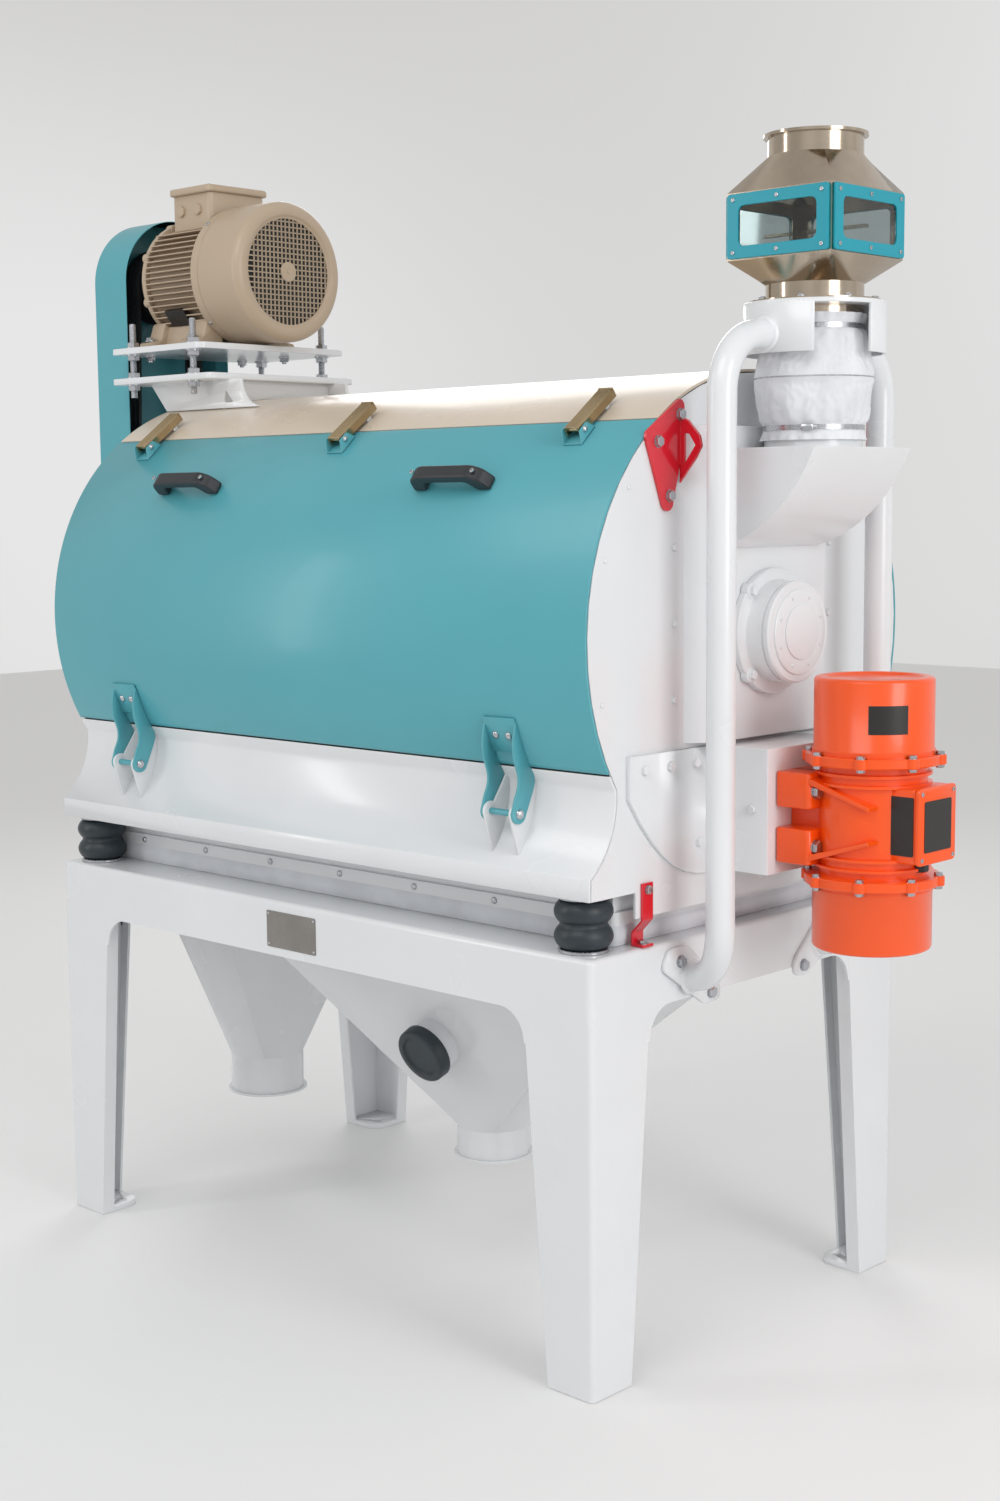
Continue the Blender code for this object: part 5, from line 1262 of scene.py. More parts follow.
def grooved_rim(radius, bore):
    """Rim with V grooves, as a closed profile along X."""
    start = PULLEY_X - PULLEY_WIDTH / 2
    pitch = (PULLEY_WIDTH - 0.010) / GROOVES
    profile = [(bore, start), (radius - 0.001, start), (radius, start + 0.001)]
    for index in range(GROOVES):
        left = start + 0.005 + index * pitch
        profile += [(radius, left + 0.001), (radius - 0.011, left + 0.0045),
                    (radius - 0.011, left + pitch - 0.0045), (radius, left + pitch - 0.001)]
    end = start + PULLEY_WIDTH
    return profile + [(radius, end - 0.001), (radius - 0.001, end), (bore, end)]


def make_pulleys():
    """Driven pulley, and the motor's shaft with its pulley and fan."""
    dress(turned("driven_pulley_wheel", grooved_rim(DRIVEN_PULLEY, 0.0303), (0.0, 0.0, DRUM_Z), X_AXIS,
                 ring=True), "beater", "iron", ("driven_pulley",))
    fan_x = -0.596
    shaft = 0.021
    parts = [turned("pulley", grooved_rim(MOTOR_PULLEY, 0.020), (0.0, 0.0, MOTOR_Z), X_AXIS, ring=True),
             rod("shaft", (0.0, 0.0, MOTOR_Z), X_AXIS, shaft, (PULLEY_X - PULLEY_WIDTH / 2, -0.556))]
    parts.append(rod("fan_hub", (0.0, 0.0, MOTOR_Z), X_AXIS, 0.035, (fan_x, fan_x + 0.030)))
    hub = Vector((fan_x, 0.0, MOTOR_Z))
    for _, outward in round_places(hub, "X", 0.0, 9, 0):
        parts.append(framed_prism("blade", rectangle((0.030, 0.115), (-0.0015, 0.0015)), hub, outward,
                                  X_AXIS.cross(outward), X_AXIS, (0.0, 0.030)))
    dress(merged("motor_shaft_set", parts), "motor_shaft", "iron", ("motor_rotor",))


def belt_loop(extra, steps=48):
    span = MOTOR_Z - DRUM_Z
    lean = math.degrees(math.asin((DRIVEN_PULLEY - MOTOR_PULLEY) / span))
    return (arc((0.0, MOTOR_Z), MOTOR_PULLEY + GAP + extra, lean, 180 - lean, steps)
            + arc(DRUM_CENTRE, DRIVEN_PULLEY + GAP + extra, 180 - lean, 360 + lean, steps))


def make_belts():
    """Four V belts that lie in the grooves."""
    pitch = (PULLEY_WIDTH - 0.010) / GROOVES
    belts = []
    for index in range(GROOVES):
        centre = PULLEY_X - PULLEY_WIDTH / 2 + 0.005 + (index + 0.5) * pitch
        loops = []
        for extra, aside in ((0.0030, -0.0062), (0.0030, 0.0062), (-0.0065, 0.0036), (-0.0065, -0.0036)):
            loops.append([(centre + aside, y, z) for y, z in belt_loop(extra)])
        belts.append(loft("belt", loops, ring=True))
    dress(merged("belt_set", belts), "casing", "belt_rubber", ("drive_belt",))


def make_guard():
    def outline(radius):
        return arc((0.0, MOTOR_Z), radius, 0, 180, 64) + arc(DRUM_CENTRE, radius, 180, 360, 64)

    radius = 0.150
    sheet = 0.003
    guard = prism("belt_guard_tray", outline(radius), "X", *GUARD_X)
    cut(guard, prism("hollow", outline(radius - sheet), "X", GUARD_X[0] + sheet, GUARD_X[1] + 0.01))
    soften(guard, 0.0025, 3, 50)
    dress(guard, "casing", "teal_paint", ("belt_guard",))
    places = [((GUARD_X[0], y, z), (-1, 0, 0)) for y in (-0.118, 0.118) for z in (1.40, 1.72, 2.04)]
    fasteners("guard_screws", "socket", places, 0.007, "casing")


# ================================================================ motor seat
STUD_X = (-0.848, -0.628)
STUD_Y = (-0.1905, 0.1905)
SEAT_Z = (1.864, 1.878)


def make_cradle():
    """Seat plate on curved webs, with the four studs that carry the motor plate."""
    plate_outline = rounded(rectangle((-0.905, -0.540), (-0.215, 0.215)), 0.020, 8)
    parts = [soften(prism("seat", plate_outline, "Z", *SEAT_Z), 0.0015)]
    web_y = 0.155
    half = 0.004
    for side in (-1, 1):
        near = web_y - half
        base_z = DRUM_Z + math.sqrt((DRUM_RADIUS + GAP) ** 2 - near ** 2)
        top_z = SEAT_Z[0] + 0.004
        curl = arc((-0.445, SEAT_Z[0]), SEAT_Z[0] - base_z - 0.004, 255, 180, 16)
        outline = [(-0.770, base_z), (-0.445, base_z)] + curl + [(-0.560, top_z), (-0.830, top_z)]
        web = prism("web", outline, "Y", side * web_y - half, side * web_y + half)
        eye = rounded([(-0.566, base_z + 0.012), (-0.530, base_z + 0.012), (-0.556, base_z + 0.040)], 0.006)
        cut(web, prism("eye", eye, "Y", side * web_y - 0.02, side * web_y + 0.02))
        parts.append(soften(web, 0.0012, 2, 40))
    under = arc(DRUM_CENTRE, DRUM_RADIUS + GAP, 71, 109, 40)
    cross = under + [(under[-1][0], SEAT_Z[0] + 0.004), (under[0][0], SEAT_Z[0] + 0.004)]
    parts.append(soften(prism("cross", cross, "X", -0.572, -0.564), 0.001, 2, 50))
    dress(merged("motor_seat", parts), "casing", "white_paint", ("motor_cradle",))
    studs = []
    lower_nuts = []
    plate_nuts = []
    for x in STUD_X:
        for y in STUD_Y:
            studs.append(threaded_rod((x, y, 0.0), 0.0078, (SEAT_Z[0] - 0.030, PLATE_TOP + 0.055)))
            lower_nuts.append(((x, y, SEAT_Z[1]), UP))
            lower_nuts.append(((x, y, SEAT_Z[0]), (0, 0, -1)))
            plate_nuts.append(((x, y, PLATE_TOP), UP))
            plate_nuts.append(((x, y, PLATE_Z), (0, 0, -1)))
    dress(merged("seat_studs", studs), "casing", "zinc")
    fasteners("seat_nuts", "flat_nut", lower_nuts, 0.0135, "casing")
    fasteners("plate_nuts", "flat_nut", plate_nuts, 0.0135, "motor_mount")


def threaded_rod(origin, radius, span):
    """Rod with ridges at the thread's pitch."""
    pitch = 0.0030
    profile = [(radius - 0.0015, span[0])]
    count = int((span[1] - span[0]) / pitch)
    for index in range(count):
        level = span[0] + index * pitch
        profile += [(radius - 0.0008, level + 0.0002), (radius, level + pitch / 2)]
    profile.append((radius - 0.0015, span[1]))
    return turned("rod", profile, origin, UP, sides=24)


def make_motor_plate():
    outline = rounded(rectangle((-0.905, -0.571), (-0.215, 0.215)), 0.022, 8)
    plate = soften(prism("motor_plate_sheet", outline, "Z", PLATE_Z, PLATE_TOP), 0.0018, 3)
    dress(plate, "motor_mount", "white_paint", ("motor_plate",))


# ================================================================ belt motor
MOTOR_BACK = low("motor_body").x
MOTOR_SPLIT = -0.646
MOTOR_END = high("fan_cowl").x
BARREL = 0.128
COWL_RADIUS = 0.155


def make_motor():
    """Foot-mounted motor: finned barrel, end shield, feet and terminal box."""
    origin = Vector((0.0, 0.0, MOTOR_Z))
    bore = 0.0213
    shield = [(bore, MOTOR_BACK), (0.052, MOTOR_BACK), (0.056, MOTOR_BACK + 0.003),
              (0.058, MOTOR_BACK + 0.012), (0.112, MOTOR_BACK + 0.018), (0.134, MOTOR_BACK + 0.024),
              (0.138, MOTOR_BACK + 0.028), (0.138, MOTOR_BACK + 0.042), (BARREL, MOTOR_BACK + 0.044),
              (BARREL, MOTOR_SPLIT - 0.012), (0.1385, MOTOR_SPLIT - 0.010), (0.1385, MOTOR_SPLIT - 0.001),
              (bore, MOTOR_SPLIT - 0.001)]
    parts = [turned("barrel", shield, origin, X_AXIS, ring=True)]
    fin_span = (MOTOR_BACK + 0.046, MOTOR_SPLIT - 0.008)
    fin_tip = 0.1475
    for side in (-1, 1):
        for index in range(17):
            level = (index - 8) * 0.0125
            root = math.sqrt(BARREL ** 2 - level ** 2) - 0.004
            tip = math.sqrt(fin_tip ** 2 - level ** 2)
            outline = [(side * root, MOTOR_Z + level - 0.0019), (side * tip, MOTOR_Z + level - 0.0012),
                       (side * tip, MOTOR_Z + level + 0.0012), (side * root, MOTOR_Z + level + 0.0019)]
            parts.append(prism("fin", outline, "X", *fin_span))
    ears = [spot for spot, _ in round_places(origin + X_AXIS * (MOTOR_BACK + 0.022), "X", 0.130, 8, 22.5)]
    for spot in ears:
        parts.append(rod("boss", spot, X_AXIS, 0.012, (0.0, 0.022), 0.002, 32))
    foot_z = PLATE_TOP + GAP
    for side in (-1, 1):
        foot = rounded([(0.066, foot_z), (0.150, foot_z), (0.150, foot_z + 0.016), (0.122, foot_z + 0.020),
                        (0.108, foot_z + 0.062), (0.066, foot_z + 0.062)], 0.008)
        for start in (-0.878, -0.722):
            pad = prism("pad", [(side * y, z) for y, z in foot], "X", start, start + 0.046)
            parts.append(soften(pad, 0.002, 3))
        bridge = [(side * 0.070, foot_z), (side * 0.112, foot_z), (side * 0.100, foot_z + 0.052),
                  (side * 0.070, foot_z + 0.058)]
        parts.append(soften(prism("bridge", bridge, "X", -0.850, -0.700), 0.0015))
    box_base = MOTOR_Z + 0.108
    box_top = high("motor_body").z - 0.016
    tray = rounded(rectangle((-0.830, -0.692), (-0.080, 0.080)), 0.012, 6)
    parts.append(soften(prism("terminal_tray", tray, "Z", box_base, box_top), 0.002))
    lid = rounded(rectangle((-0.836, -0.686), (-0.088, 0.088)), 0.014, 6)
    parts.append(soften(prism("lid", lid, "Z", box_top, box_top + 0.016), 0.004, 3))
    for x in (-0.795, -0.735):
        spot = Vector((x, -0.079, (box_base + box_top) / 2 + 0.004))
        parts.append(rod("gland", spot, (0, -1, 0), 0.013, (0.0, 0.007), 0.001, 6))
    eye_spot = Vector((-0.660, 0.0, MOTOR_Z + 0.131))
    loop = [eye_spot + Vector((0.0, u, v)) for u, v in arc((0.0, 0.014), 0.011, 0, 345, 23)]
    parts.append(tube("eye", loop, 0.0045, 12, closed=True))
    dress(merged("motor_housing", parts, 30), "motor_mount", "beige_paint", ("motor_body",))
    fasteners("motor_shield_bolts", "hex", [(spot, -X_AXIS) for spot in ears], 0.0055, "motor_mount")
    feet = []
    nuts = []
    for x in (-0.855, -0.699):
        for side in (-1, 1):
            feet.append(((x, side * 0.136, foot_z + 0.0185), UP))
            nuts.append(((x, side * 0.136, PLATE_Z), (0, 0, -1)))
    fasteners("motor_foot_bolts", "hex", feet, 0.0105, "motor_mount")
    fasteners("motor_foot_nuts", "nut", nuts, 0.0105, "motor_mount")
    lid_screws = [((x, y, box_top + 0.0155), UP) for x in (-0.824, -0.698) for y in (-0.076, 0.076)]
    fasteners("terminal_lid_screws", "socket", lid_screws, 0.0042, "motor_mount")
    tilt = math.radians(218)
    out = Vector((0.0, math.cos(tilt), math.sin(tilt)))
    label = framed_prism("motor_rating_plate", rounded(rectangle((-0.034, 0.034), (-0.020, 0.020)), 0.003),
                         Vector((-0.775, 0.0, MOTOR_Z)), X_AXIS, out.cross(X_AXIS), out,
                         (0.140, 0.1485))
    dress(label, "motor_mount", "plate_black")


def make_cowl():
    """Sheet cowl with a seam step, a recessed square grille and a centre disc."""
    origin = Vector((0.0, 0.0, MOTOR_Z))
    start = MOTOR_SPLIT - 0.030
    inner = 0.1406
    bend = 0.020
    grille = 0.117
    skin = 0.003
    outer = COWL_RADIUS
    profile = [(inner, start), (outer - 0.001, start), (outer, start + 0.001), (outer, start + 0.022),
               (outer - 0.0022, start + 0.024), (outer - 0.0022, start + 0.027), (outer, start + 0.029)]
    for u, v in arc((outer - bend, MOTOR_END - bend), bend, 0, 90, 10):
        profile.append((u, v))
    profile += [(grille + 0.010, MOTOR_END), (grille + 0.007, MOTOR_END - 0.0015),
                (grille + 0.004, MOTOR_END - 0.0050), (grille, MOTOR_END - 0.0060),
                (grille, MOTOR_END - 0.0090), (outer - bend - skin, MOTOR_END - 0.0090)]
    profile += [(outer - skin, MOTOR_END - bend - skin), (outer - skin, MOTOR_SPLIT + 0.002),
                (inner, MOTOR_SPLIT + 0.002)]
    parts = [turned("cowl", profile, origin, X_AXIS, ring=True, sharp=40)]
    pitch = 0.0116
    wire = 0.0013
    level = (MOTOR_END - 0.0088, MOTOR_END - 0.0062)
    for index in range(-9, 10):
        across = (index + 0.5) * pitch if index < 9 else 9.5 * pitch
        reach = math.sqrt(max(grille ** 2 - across ** 2, 0.0)) + 0.001
        parts.append(block("wire", level, (across - wire, across + wire), (MOTOR_Z - reach, MOTOR_Z + reach)))
        parts.append(block("wire", level, (-reach, reach),
                           (MOTOR_Z + across - wire, MOTOR_Z + across + wire)))
    parts.append(rod("disc", origin, X_AXIS, 0.022, (MOTOR_END - 0.0095, MOTOR_END - 0.0050), 0.001, 64))
    parts.append(rod("dot", origin, X_AXIS, 0.005, (MOTOR_END - 0.0060, MOTOR_END - 0.0035), 0.001, 32))
    dress(merged("fan_cowl_sheet", parts, 30), "motor_mount", "beige_paint", ("fan_cowl",))
    dark = rod("cowl_shadow", origin, X_AXIS, 0.128, (MOTOR_END - 0.0150, MOTOR_END - 0.0135))
    dress(dark, "motor_mount", "plate_black")
    screws = round_places(origin + X_AXIS * (start + 0.012), "X", outer, 4, 45)
    fasteners("cowl_screws", "socket", screws, 0.0055, "motor_mount")


# ================================================================ chute and unbalance motor
CHUTE_HALF = 0.151
CHUTE_TOP = 1.679
CHUTE_CENTRE = (0.737, 1.792)
CHUTE_RADIUS = 0.300
VIBRO_COVER = 0.1066
VIBRO_BODY = 0.096
VIBRO_FLANGE = 0.121
FLANGES = ((0.905, 0.923), (1.122, 1.140))
VIBRO_FEET_Z = (0.972, 1.073)


def chute_outline(inset, start_x):
    reach = CHUTE_RADIUS - inset
    top_z = CHUTE_TOP - inset
    first = -math.degrees(math.acos((start_x - CHUTE_CENTRE[0]) / reach))
    last = -math.degrees(math.asin((CHUTE_CENTRE[1] - top_z) / reach))
    return [(start_x, top_z)] + arc(CHUTE_CENTRE, reach, first, last, 48)


def make_chute():
    wall = 0.004
    start = CHANNEL_X + GAP
    shape = prism("inlet_chute_sheet", chute_outline(0.0, start), "Y", -CHUTE_HALF, CHUTE_HALF)
    cut(shape, prism("hollow", chute_outline(wall, start - 0.01), "Y", wall - CHUTE_HALF, CHUTE_HALF - wall))
    origin = (INLET_X, 0.0, 0.0)
    boolean(shape, rod("neck", origin, UP, NECK, (CHUTE_TOP - 0.0015, CHUTE_TOP + 0.070), sides=96),
            "UNION")
    cut(shape, rod("bore", origin, UP, NECK - 0.003, (CHUTE_TOP - 0.02, CHUTE_TOP + 0.08), sides=96))
    soften(shape, 0.0022, 3, 50)
    dress(shape, "casing", "white_paint", ("inlet_chute",))


def make_bracket():
    finish_node("vibro_bracket", "white_paint", 0.0025, 2, dissolve=0)
    face = CASING_X + GAP + 0.008
    wing = [((face, y, z), (1, 0, 0)) for y, z in ((-0.330, 1.118), (-0.258, 1.118), (-0.186, 1.118),
                                                 (-0.176, 0.972))]
    fasteners("bracket_wing_bolts", "hex", both_sides(wing), 0.0085, "casing", "white_paint")
    cheek = 0.130
    sides = [((x, -cheek, z), (0, -1, 0)) for x, z in ((0.822, 1.105), (0.822, 0.965), (0.872, 1.035))]
    fasteners("bracket_cheek_bolts", "hex", both_sides(sides), 0.0080, "casing", "white_paint")


def half_vibro(parts, up):
    """One end of the unbalance motor: cover, flange, ears and ribs."""
    end = high("vibro_motor").z if up > 0 else low("vibro_motor").z
    near, far = FLANGES[1] if up > 0 else FLANGES[0][::-1]
    origin = Vector((VIBRO_X, 0.0, 0.0))
    cover = VIBRO_COVER
    profile = [(0.001, end - up * 0.005), (cover - 0.024, end - up * 0.005),
               (cover - 0.020, end - up * 0.001), (cover - 0.018, end), (cover - 0.006, end),
               (cover - 0.002, end - up * 0.002),
               (cover, end - up * 0.006), (cover, far + up * 0.010), (cover + 0.0025, far + up * 0.008),
               (cover + 0.0025, far), (0.001, far)]
    parts.append(turned("cover", profile, origin, UP))
    edge = up * 0.002
    ring = [(VIBRO_BODY - 0.004, near - edge), (VIBRO_FLANGE - 0.002, near), (VIBRO_FLANGE, near + edge),
            (VIBRO_FLANGE, far - edge), (VIBRO_FLANGE - 0.002, far), (VIBRO_BODY - 0.004, far)]
    parts.append(turned("flange", ring, origin, UP, ring=True))
    for inset in (0.016, 0.034):
        level = near - up * inset
        rib = [(VIBRO_BODY - 0.003, level - 0.0045), (VIBRO_BODY + 0.008, level - 0.0025),
               (VIBRO_BODY + 0.008, level + 0.0025), (VIBRO_BODY - 0.003, level + 0.0045)]
        parts.append(turned("rib", rib, origin, UP, ring=True))
    for spot, _ in round_places(origin, "Z", 0.1165, 8, 22.5):
        parts.append(rod("ear", spot, UP, 0.0125, tuple(sorted((near, far))), 0.0015, 32))


def flange_bolts(up):
    """Bolt heads on the outer side of a flange and nuts on its inner side."""
    near, far = FLANGES[1] if up > 0 else FLANGES[0][::-1]
    places = []
    for spot, _ in round_places((VIBRO_X, 0.0, 0.0), "Z", 0.1175, 8, 22.5):
        places.append((spot + UP * far, UP * up))
        places.append((spot + UP * near, UP * -up))
    return places


def make_vibro():
    """Vertical unbalance motor with ribbed body, foot blocks and terminal box."""
    origin = Vector((VIBRO_X, 0.0, 0.0))
    parts = [rod("body", origin, UP, VIBRO_BODY, (FLANGES[0][1] - 0.002, FLANGES[1][0] + 0.002), sides=128)]
    half_vibro(parts, 1)
    half_vibro(parts, -1)
    near_x = low("vibro_motor").x
    for level in VIBRO_FEET_Z:
        pad = rounded(rectangle((near_x, VIBRO_X - 0.062), (-0.108, 0.108)), 0.010)
        parts.append(soften(prism("pad", pad, "Z", level - 0.032, level + 0.032), 0.004, 3))
    for side in (-1, 1):
        web = rectangle((near_x, VIBRO_X - 0.030), (side * 0.052 - 0.006, side * 0.052 + 0.006))
        parts.append(soften(prism("web", web, "Z", 0.940, 1.105), 0.002))
        for start_z, end_z in ((1.096, 1.052), (0.950, 0.992)):
            rib = [(VIBRO_X - 0.078, start_z + 0.006), (VIBRO_X - 0.078, start_z - 0.006),
                   (VIBRO_X + 0.060, end_z - 0.004), (VIBRO_X + 0.060, end_z + 0.004)]
            span = tuple(sorted((side * 0.060, side * 0.1065)))
            parts.append(soften(prism("v_rib", rib, "Y", *span), 0.0018))
    box = rounded(rectangle((VIBRO_X + 0.066, high("vibro_motor").x - 0.009), (-0.058, 0.058)), 0.008)
    parts.append(soften(prism("terminal_base", box, "Z", 0.956, 1.088), 0.003, 3))
    lid_x = (high("vibro_motor").x - 0.0085, high("vibro_motor").x)
    lid = rounded(rectangle((-0.060, 0.060), (0.954, 1.090)), 0.010)
    parts.append(soften(prism("terminal_lid", lid, "X", *lid_x), 0.002, 3))
    dress(merged("vibro_motor_casting", parts, 32), "casing", "orange_paint", ("vibro_motor",))
    finish_node("vibro_weights", "steel", 0.001)
    fasteners("vibro_flange_bolts", "hex", flange_bolts(1) + flange_bolts(-1), 0.0072, "casing")
    corner = [((lid_x[1] - 0.0002, y, z), X_AXIS) for y in (-0.050, 0.050) for z in (0.964, 1.080)]
    fasteners("vibro_lid_screws", "socket", corner, 0.0045, "casing")
    feet = [((VIBRO_X - 0.0625, y, z), X_AXIS) for y in (-0.088, 0.088) for z in VIBRO_FEET_Z]
    fasteners("vibro_foot_bolts", "hex", feet, 0.0125, "casing")
    label = rounded(rectangle((-0.043, 0.043), (0.976, 1.066)), 0.004)
    face = prism("vibro_lid_plate", label, "X", lid_x[1] - 0.001, lid_x[1] + 0.0012)
    dress(face, "casing", "plate_black")
    side_x = (VIBRO_X + 0.074, lid_x[0] - 0.004)
    side_label = rounded(rectangle(side_x, (0.970, 1.074)), 0.003)
    dress(prism("vibro_side_plate", side_label, "Y", -0.0592, -0.0575), "casing", "plate_black")
    sticker = (arc((VIBRO_X, 0.0), VIBRO_COVER + 0.0006, -62, -24, 16)
               + arc((VIBRO_X, 0.0), VIBRO_COVER - 0.001, -24, -62, 16))
    dress(prism("vibro_cover_plate", sticker, "Z", 1.182, 1.232), "casing", "plate_black")
    gland = rod("vibro_gland", (VIBRO_X + 0.100, 0.0, 0.957), (0, 0, -1), 0.014, (0.0, 0.022), 0.002, 6)
    dress(gland, "casing", "black_plastic")


# ================================================================ doors and hardware
HINGE_X = 0.557
HINGE_Y = 0.450
HINGE_Z = 1.036
HINGE_HALF_SPAN = 0.040
HINGE_ANGLE = 201.0                # of the base plate on the door
HINGE_PLATE = 0.0053
HANDLE_X = 0.390
HANDLE_ANGLE = 145.3
HANDLE_LENGTH = 0.200
HANDLE_HEIGHT = 0.045
HANDLE_WIDTH = 0.028
LATCH_X = (-0.628, 0.0, 0.628)
LATCH_ANGLE = 132.0
LATCH_TILT = 5.0
LATCH_LENGTH = 0.112
LATCH_WIDTH = 0.034
LATCH_PIVOT = 0.016
LATCH_SHEET = 0.003


def latch_frame(latch_x):
    """Pivot of a latch, the direction of its lever and the way off the drum."""
    outward, upward = drum_frame(LATCH_ANGLE)
    lean = math.radians(LATCH_TILT)
    along = upward * math.cos(lean) - outward * math.sin(lean)
    away = outward * math.cos(lean) + upward * math.sin(lean)
    return on_drum(latch_x, LATCH_ANGLE, LATCH_PIVOT), along, away


def door_sheet(name):
    """Curved door with its three pairs of latch ears, for the front side."""
    bottom = 180 + math.degrees(math.asin((DRUM_Z - DOOR_BOTTOM_Z) / DRUM_RADIUS))
    start = 180 - DOOR_TOP_ANGLE + math.degrees(DOOR_GAP / DRUM_RADIUS)
    parts = [soften(prism("sheet", sheet_outline(start, bottom, 96), "X", -CASING_X, CASING_X), 0.0009)]
    outward, upward = drum_frame(LATCH_ANGLE)
    ears = [(-0.024, -0.003), (0.024, -0.003), (0.024, 0.002), (0.012, 0.023), (-0.012, 0.023),
            (-0.024, 0.002)]
    for latch_x in LATCH_X:
        origin = on_drum(latch_x, LATCH_ANGLE)
        inner = LATCH_WIDTH / 2 + 0.003
        for start_x in (inner, -inner - LATCH_SHEET):
            ear = framed_prism("ear", rounded(ears, 0.004), origin, upward, outward, X_AXIS,
                               (start_x, start_x + LATCH_SHEET))
            parts.append(soften(ear, 0.0006))
        foot = framed_prism("foot", rectangle((-0.024, 0.024), (0.0, 0.0025)), origin, upward, outward,
                            X_AXIS, (-inner - LATCH_SHEET, inner + LATCH_SHEET))
        parts.append(soften(foot, 0.0006))
    return merged(name, parts)


def hinge(centre_x):
    """Two cranked arms on a base plate, for the front side."""
    outward, upward = drum_frame(HINGE_ANGLE)
    span = HINGE_HALF_SPAN
    plate = framed_prism("plate", rectangle((-0.034, 0.034), (GAP, HINGE_PLATE)),
                         on_drum(centre_x, HINGE_ANGLE), upward, outward, X_AXIS,
                         (0.0015 - span, span - 0.0015))
    parts = [soften(plate, 0.0010)]
    eye = arc((-HINGE_Y, HINGE_Z), 0.018, 170, 330, 20)
    on_door = arc(DRUM_CENTRE, DRUM_RADIUS + 0.0006, 208.0, 198.0, 12)
    upper = rounded([(-0.4575, 1.200), (-0.4640, 1.170), (-0.4630, 1.135), (-0.4500, 1.107),
                     (-0.4500, 1.085), (-0.4600, 1.064)], 0.02)[6:-6]
    outline = [(-0.4575, 1.200)] + upper + [(-0.4600, 1.064)] + eye
    outline += [(-0.4130, 1.074), (-0.4075, 1.090), (-0.4100, 1.103)] + on_door
    for side in (-1, 1):
        outer = centre_x + side * span
        inner = outer - side * 0.005
        parts.append(soften(prism("arm", outline, "X", *sorted((inner, outer))), 0.0009, 2, 40))
    pin = (centre_x - span + 0.002, centre_x + span - 0.002)
    parts.append(rod("pin", (0.0, -HINGE_Y, HINGE_Z), X_AXIS, 0.006, pin))
    return merged("hinge", parts)


def handle(centre_x):
    """Moulded bridge handle, for the front side."""
    half = HANDLE_LENGTH / 2
    top = HANDLE_HEIGHT
    outline = [(-half, GAP), (0.012 - half, top - 0.012), (0.034 - half, top), (half - 0.034, top),
               (half - 0.012, top - 0.012), (half, GAP), (half - 0.036, GAP),
               (half - 0.046, top - 0.020), (0.046 - half, top - 0.020), (0.036 - half, GAP)]
    outward, upward = drum_frame(HANDLE_ANGLE)
    shape = framed_prism("handle", rounded(outline, 0.010), on_drum(centre_x, HANDLE_ANGLE), X_AXIS, outward,
                         upward, (-HANDLE_WIDTH / 2, HANDLE_WIDTH / 2))
    return soften(shape, 0.006, 4, 45)


def make_doors():
    for node, side in (("front_door", -1), ("rear_door", 1)):
        sheet = door_sheet(node + "_sheet")
        if side > 0:
            mirrored(sheet, "Y")
        dress(sheet, node, "teal_paint", (node,))
        for end, x in (("left", -1), ("right", 1)):
            arm = hinge(x * HINGE_X)
            grip = apply_modifiers(handle(x * HANDLE_X))
            arm_node = ("front_hinge_" + end,) if side < 0 else ()
            grip_node = ("front_handle_" + end,) if side < 0 else ()
            if side > 0:
                mirrored(arm, "Y")
                mirrored(grip, "Y")
            dress(arm, node, "teal_paint", arm_node).name = node + "_hinge_" + end
            dress(grip, node, "black_plastic", grip_node).name = node + "_handle_" + end
    make_door_bolts()


def make_door_bolts():
    for node, side in (("front_door", -1), ("rear_door", 1)):
        pivot, plates, screws = [], [], []
        for x in (-HINGE_X, HINGE_X):
            for end in (-1, 1):
                reach = x + end * HINGE_HALF_SPAN
                pivot.append(((reach, side * HINGE_Y, HINGE_Z), (end, 0, 0)))
            outward, _ = drum_frame(HINGE_ANGLE)
            for along in (-0.016, 0.016):
                spot = on_drum(x + along, HINGE_ANGLE, HINGE_PLATE)
                plates.append(((spot.x, -side * spot.y, spot.z), (0.0, -side * outward.y, outward.z)))
        for x in (-HANDLE_X, HANDLE_X):
            outward, _ = drum_frame(HANDLE_ANGLE)
            for along in (-1, 1):
                spot = on_drum(x + along * (HANDLE_LENGTH / 2 - 0.0225), HANDLE_ANGLE, HANDLE_HEIGHT - 0.001)
                screws.append(((spot.x, -side * spot.y, spot.z), (0.0, -side * outward.y, outward.z)))
        fasteners(node + "_hinge_bolts", "dome", pivot, 0.0095, node)
        fasteners(node + "_plate_bolts", "dome", plates, 0.0075, node)
        fasteners(node + "_handle_screws", "socket", screws, 0.0050, node)


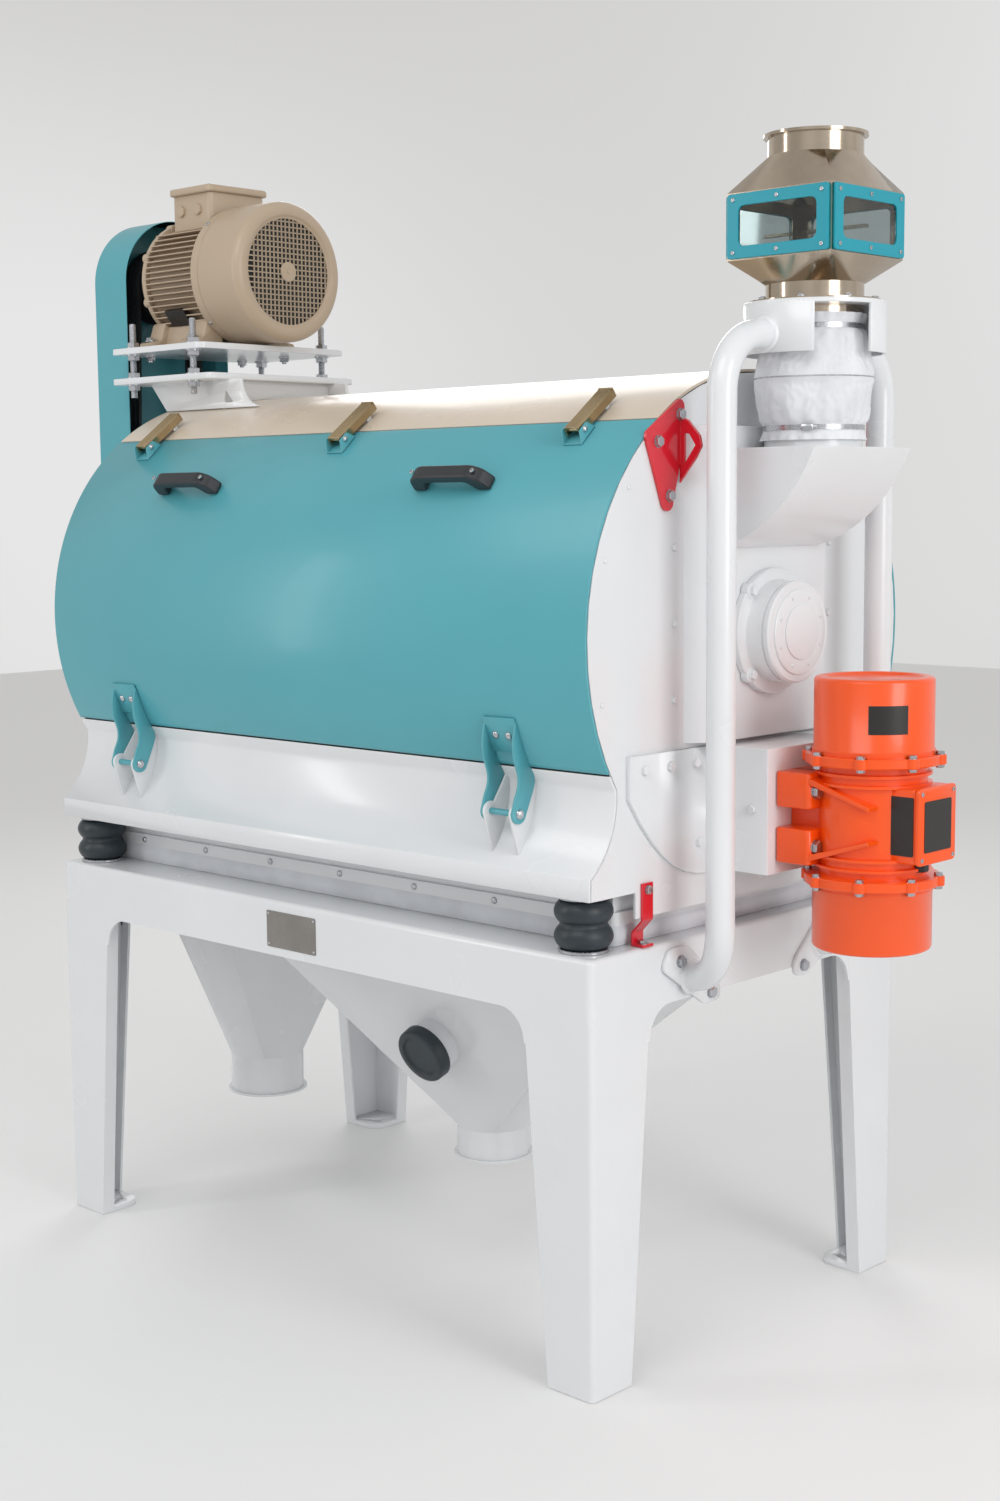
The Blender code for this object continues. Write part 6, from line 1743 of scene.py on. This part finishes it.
def make_latches():
    """Ribbed channel levers with a claw at the free end."""
    half = LATCH_WIDTH / 2
    reach = LATCH_LENGTH
    for node_side, side in (("front", -1), ("rear", 1)):
        for name, latch_x in zip(("left", "middle", "right"), LATCH_X):
            origin, along, away = latch_frame(latch_x)
            top = 0.011
            section = [(-half, -0.008), (-half, top - 0.004), (-half + 0.004, top)]
            for index in range(5):
                u = -half + 0.0065 + index * 0.0053
                section += [(u - 0.0014, top), (u, top + 0.0016), (u + 0.0014, top)]
            section += [(half - 0.004, top), (half, top - 0.004), (half, -0.008),
                        (half - LATCH_SHEET, -0.008), (half - LATCH_SHEET, top - 0.005),
                        (LATCH_SHEET - half, top - 0.005), (LATCH_SHEET - half, -0.008)]
            lever = framed_prism("lever", section, origin, X_AXIS, away, along, (-0.009, reach - 0.004))
            lip = framed_prism("lip", rectangle((reach - 0.004, reach), (-0.008, top)), origin, along, away,
                               X_AXIS, (-half, half))
            pin_reach = half + 0.0045
            pin = rod("pin", (0.0, origin.y, origin.z), X_AXIS, 0.004,
                      (latch_x - pin_reach, latch_x + pin_reach))
            parts = [soften(lever, 0.0005), soften(lip, 0.0012), pin]
            latch = merged(f"{node_side}_latch_lever_{name}", parts, 30)
            if side > 0:
                mirrored(latch, "Y")
            node = f"{node_side}_latch_{name}"
            dress(latch, node, "latch_steel", (node,))
            ends = []
            for end in (-1, 1):
                spot = Vector((latch_x + end * (half + 0.006), origin.y, origin.z))
                ends.append(((spot.x, -side * spot.y, spot.z), (end, 0, 0)))
            fasteners(node + "_pivot", "dome", ends, 0.0062, body_of(node_side + "_door"))


def make_lifting_lugs():
    bolts = []
    for node in ("lifting_lug_front", "lifting_lug_rear"):
        finish_node(node, "red_paint", 0.0014, 3)
    face = CASING_X + GAP + 0.006
    for y, z in ((-0.229, 1.738), (-0.290, 1.690), (-0.258, 1.596)):
        bolts.append(((face, y, z), X_AXIS))
    fasteners("lifting_lug_bolts", "hex", both_sides(bolts), 0.0095, "casing")


def make_nameplate():
    """Blank metal plate riveted to the front fascia."""
    spot = -FRAME_Y
    plate = prism("maker_plate", rounded(rectangle((-0.079, 0.068), (0.705, 0.779)), 0.004), "Y",
                  spot - 0.0012, spot - GAP)
    dress(plate, "root", "plate_silver")
    rivets = [((x, spot - 0.0012, z), (0, -1, 0)) for x in (-0.073, 0.062) for z in (0.711, 0.773)]
    fasteners("maker_plate_rivets", "dome", rivets, 0.0026, "root")


# ================================================================ build
make_deck()
make_legs()
make_hoppers()
make_buffers()
make_transport_locks()
make_seal()
make_posts()
make_collar()
make_sight_box()
make_windows()
make_sleeve()
make_casing()
make_drum()
make_bearings()
make_pulleys()
make_belts()
make_guard()
make_cradle()
make_motor_plate()
make_motor()
make_cowl()
make_chute()
make_bracket()
make_vibro()
make_doors()
make_latches()
make_lifting_lugs()
make_nameplate()


# ================================================================ stage
CAMERA_PLACE = (2.998, -3.091, 1.5875)
CAMERA_HEADING = 43.57
CAMERA_DIP = 6.89
CAMERA_ROLL = -0.54
CAMERA_LENS = 49.24


def make_camera():
    data = bpy.data.cameras.new("camera")
    data.sensor_fit = "VERTICAL"
    data.sensor_height = 36.0
    data.lens = CAMERA_LENS
    data.clip_end = 60.0
    camera = link("camera", data)
    turn = Matrix.Rotation(math.radians(CAMERA_HEADING), 4, "Z")
    turn = turn @ Matrix.Rotation(math.radians(90 - CAMERA_DIP), 4, "X")
    turn = turn @ Matrix.Rotation(math.radians(CAMERA_ROLL), 4, "Z")
    camera.matrix_world = Matrix.Translation(CAMERA_PLACE) @ turn
    bpy.context.scene.camera = camera


def make_light(name, place, aim, size, watts):
    data = bpy.data.lights.new(name, "AREA")
    data.shape = "RECTANGLE"
    data.size = size[0]
    data.size_y = size[1]
    data.energy = watts
    lamp = link(name, data)
    toward = Vector(aim) - Vector(place)
    lamp.rotation_euler = toward.to_track_quat("-Z", "Y").to_euler()
    lamp.location = place


def make_stage():
    """Pale floor, bright surroundings and soft boxes above and to both sides."""
    mesh = bmesh.new()
    corners = [(-14, -14), (14, -14), (14, 14), (-14, 14)]
    mesh.faces.new([mesh.verts.new((x, y, 0.0)) for x, y in corners])
    floor = from_bmesh("floor", mesh)
    floor.data.materials.append(plain("floor", (0.86, 0.86, 0.86, 1.0), 0.6))
    world = bpy.data.worlds.new("surroundings")
    world.use_nodes = True
    sky = world.node_tree.nodes["Background"]
    sky.inputs["Strength"].default_value = 0.80
    tree = world.node_tree
    direction = tree.nodes.new("ShaderNodeTexCoord")
    field = tree.nodes.new("ShaderNodeTexNoise")
    field.inputs["Scale"].default_value = 1.3
    field.inputs["Detail"].default_value = 1.0
    ramp = tree.nodes.new("ShaderNodeValToRGB")
    ramp.color_ramp.elements[0].position = 0.42
    ramp.color_ramp.elements[0].color = (0.72, 0.71, 0.70, 1.0)
    ramp.color_ramp.elements[1].position = 0.62
    ramp.color_ramp.elements[1].color = (1.0, 1.0, 1.0, 1.0)
    tree.links.new(direction.outputs["Generated"], field.inputs["Vector"])
    tree.links.new(field.outputs["Fac"], ramp.inputs["Fac"])
    tree.links.new(ramp.outputs["Color"], sky.inputs["Color"])
    bpy.context.scene.world = world
    make_light("key", (1.2, -3.6, 4.6), (0.0, 0.0, 1.2), (3.0, 2.0), 46)
    make_light("side", (4.6, -0.6, 2.4), (0.4, 0.0, 1.1), (1.6, 2.6), 58)
    make_light("back", (-3.2, 3.4, 3.8), (0.0, 0.0, 1.4), (2.4, 2.4), 40)
    make_light("strip", (-2.2, -3.4, 2.4), (-0.4, 0.0, 1.3), (0.5, 2.6), 20)


make_camera()
make_stage()
bpy.context.scene.view_settings.view_transform = "Standard"
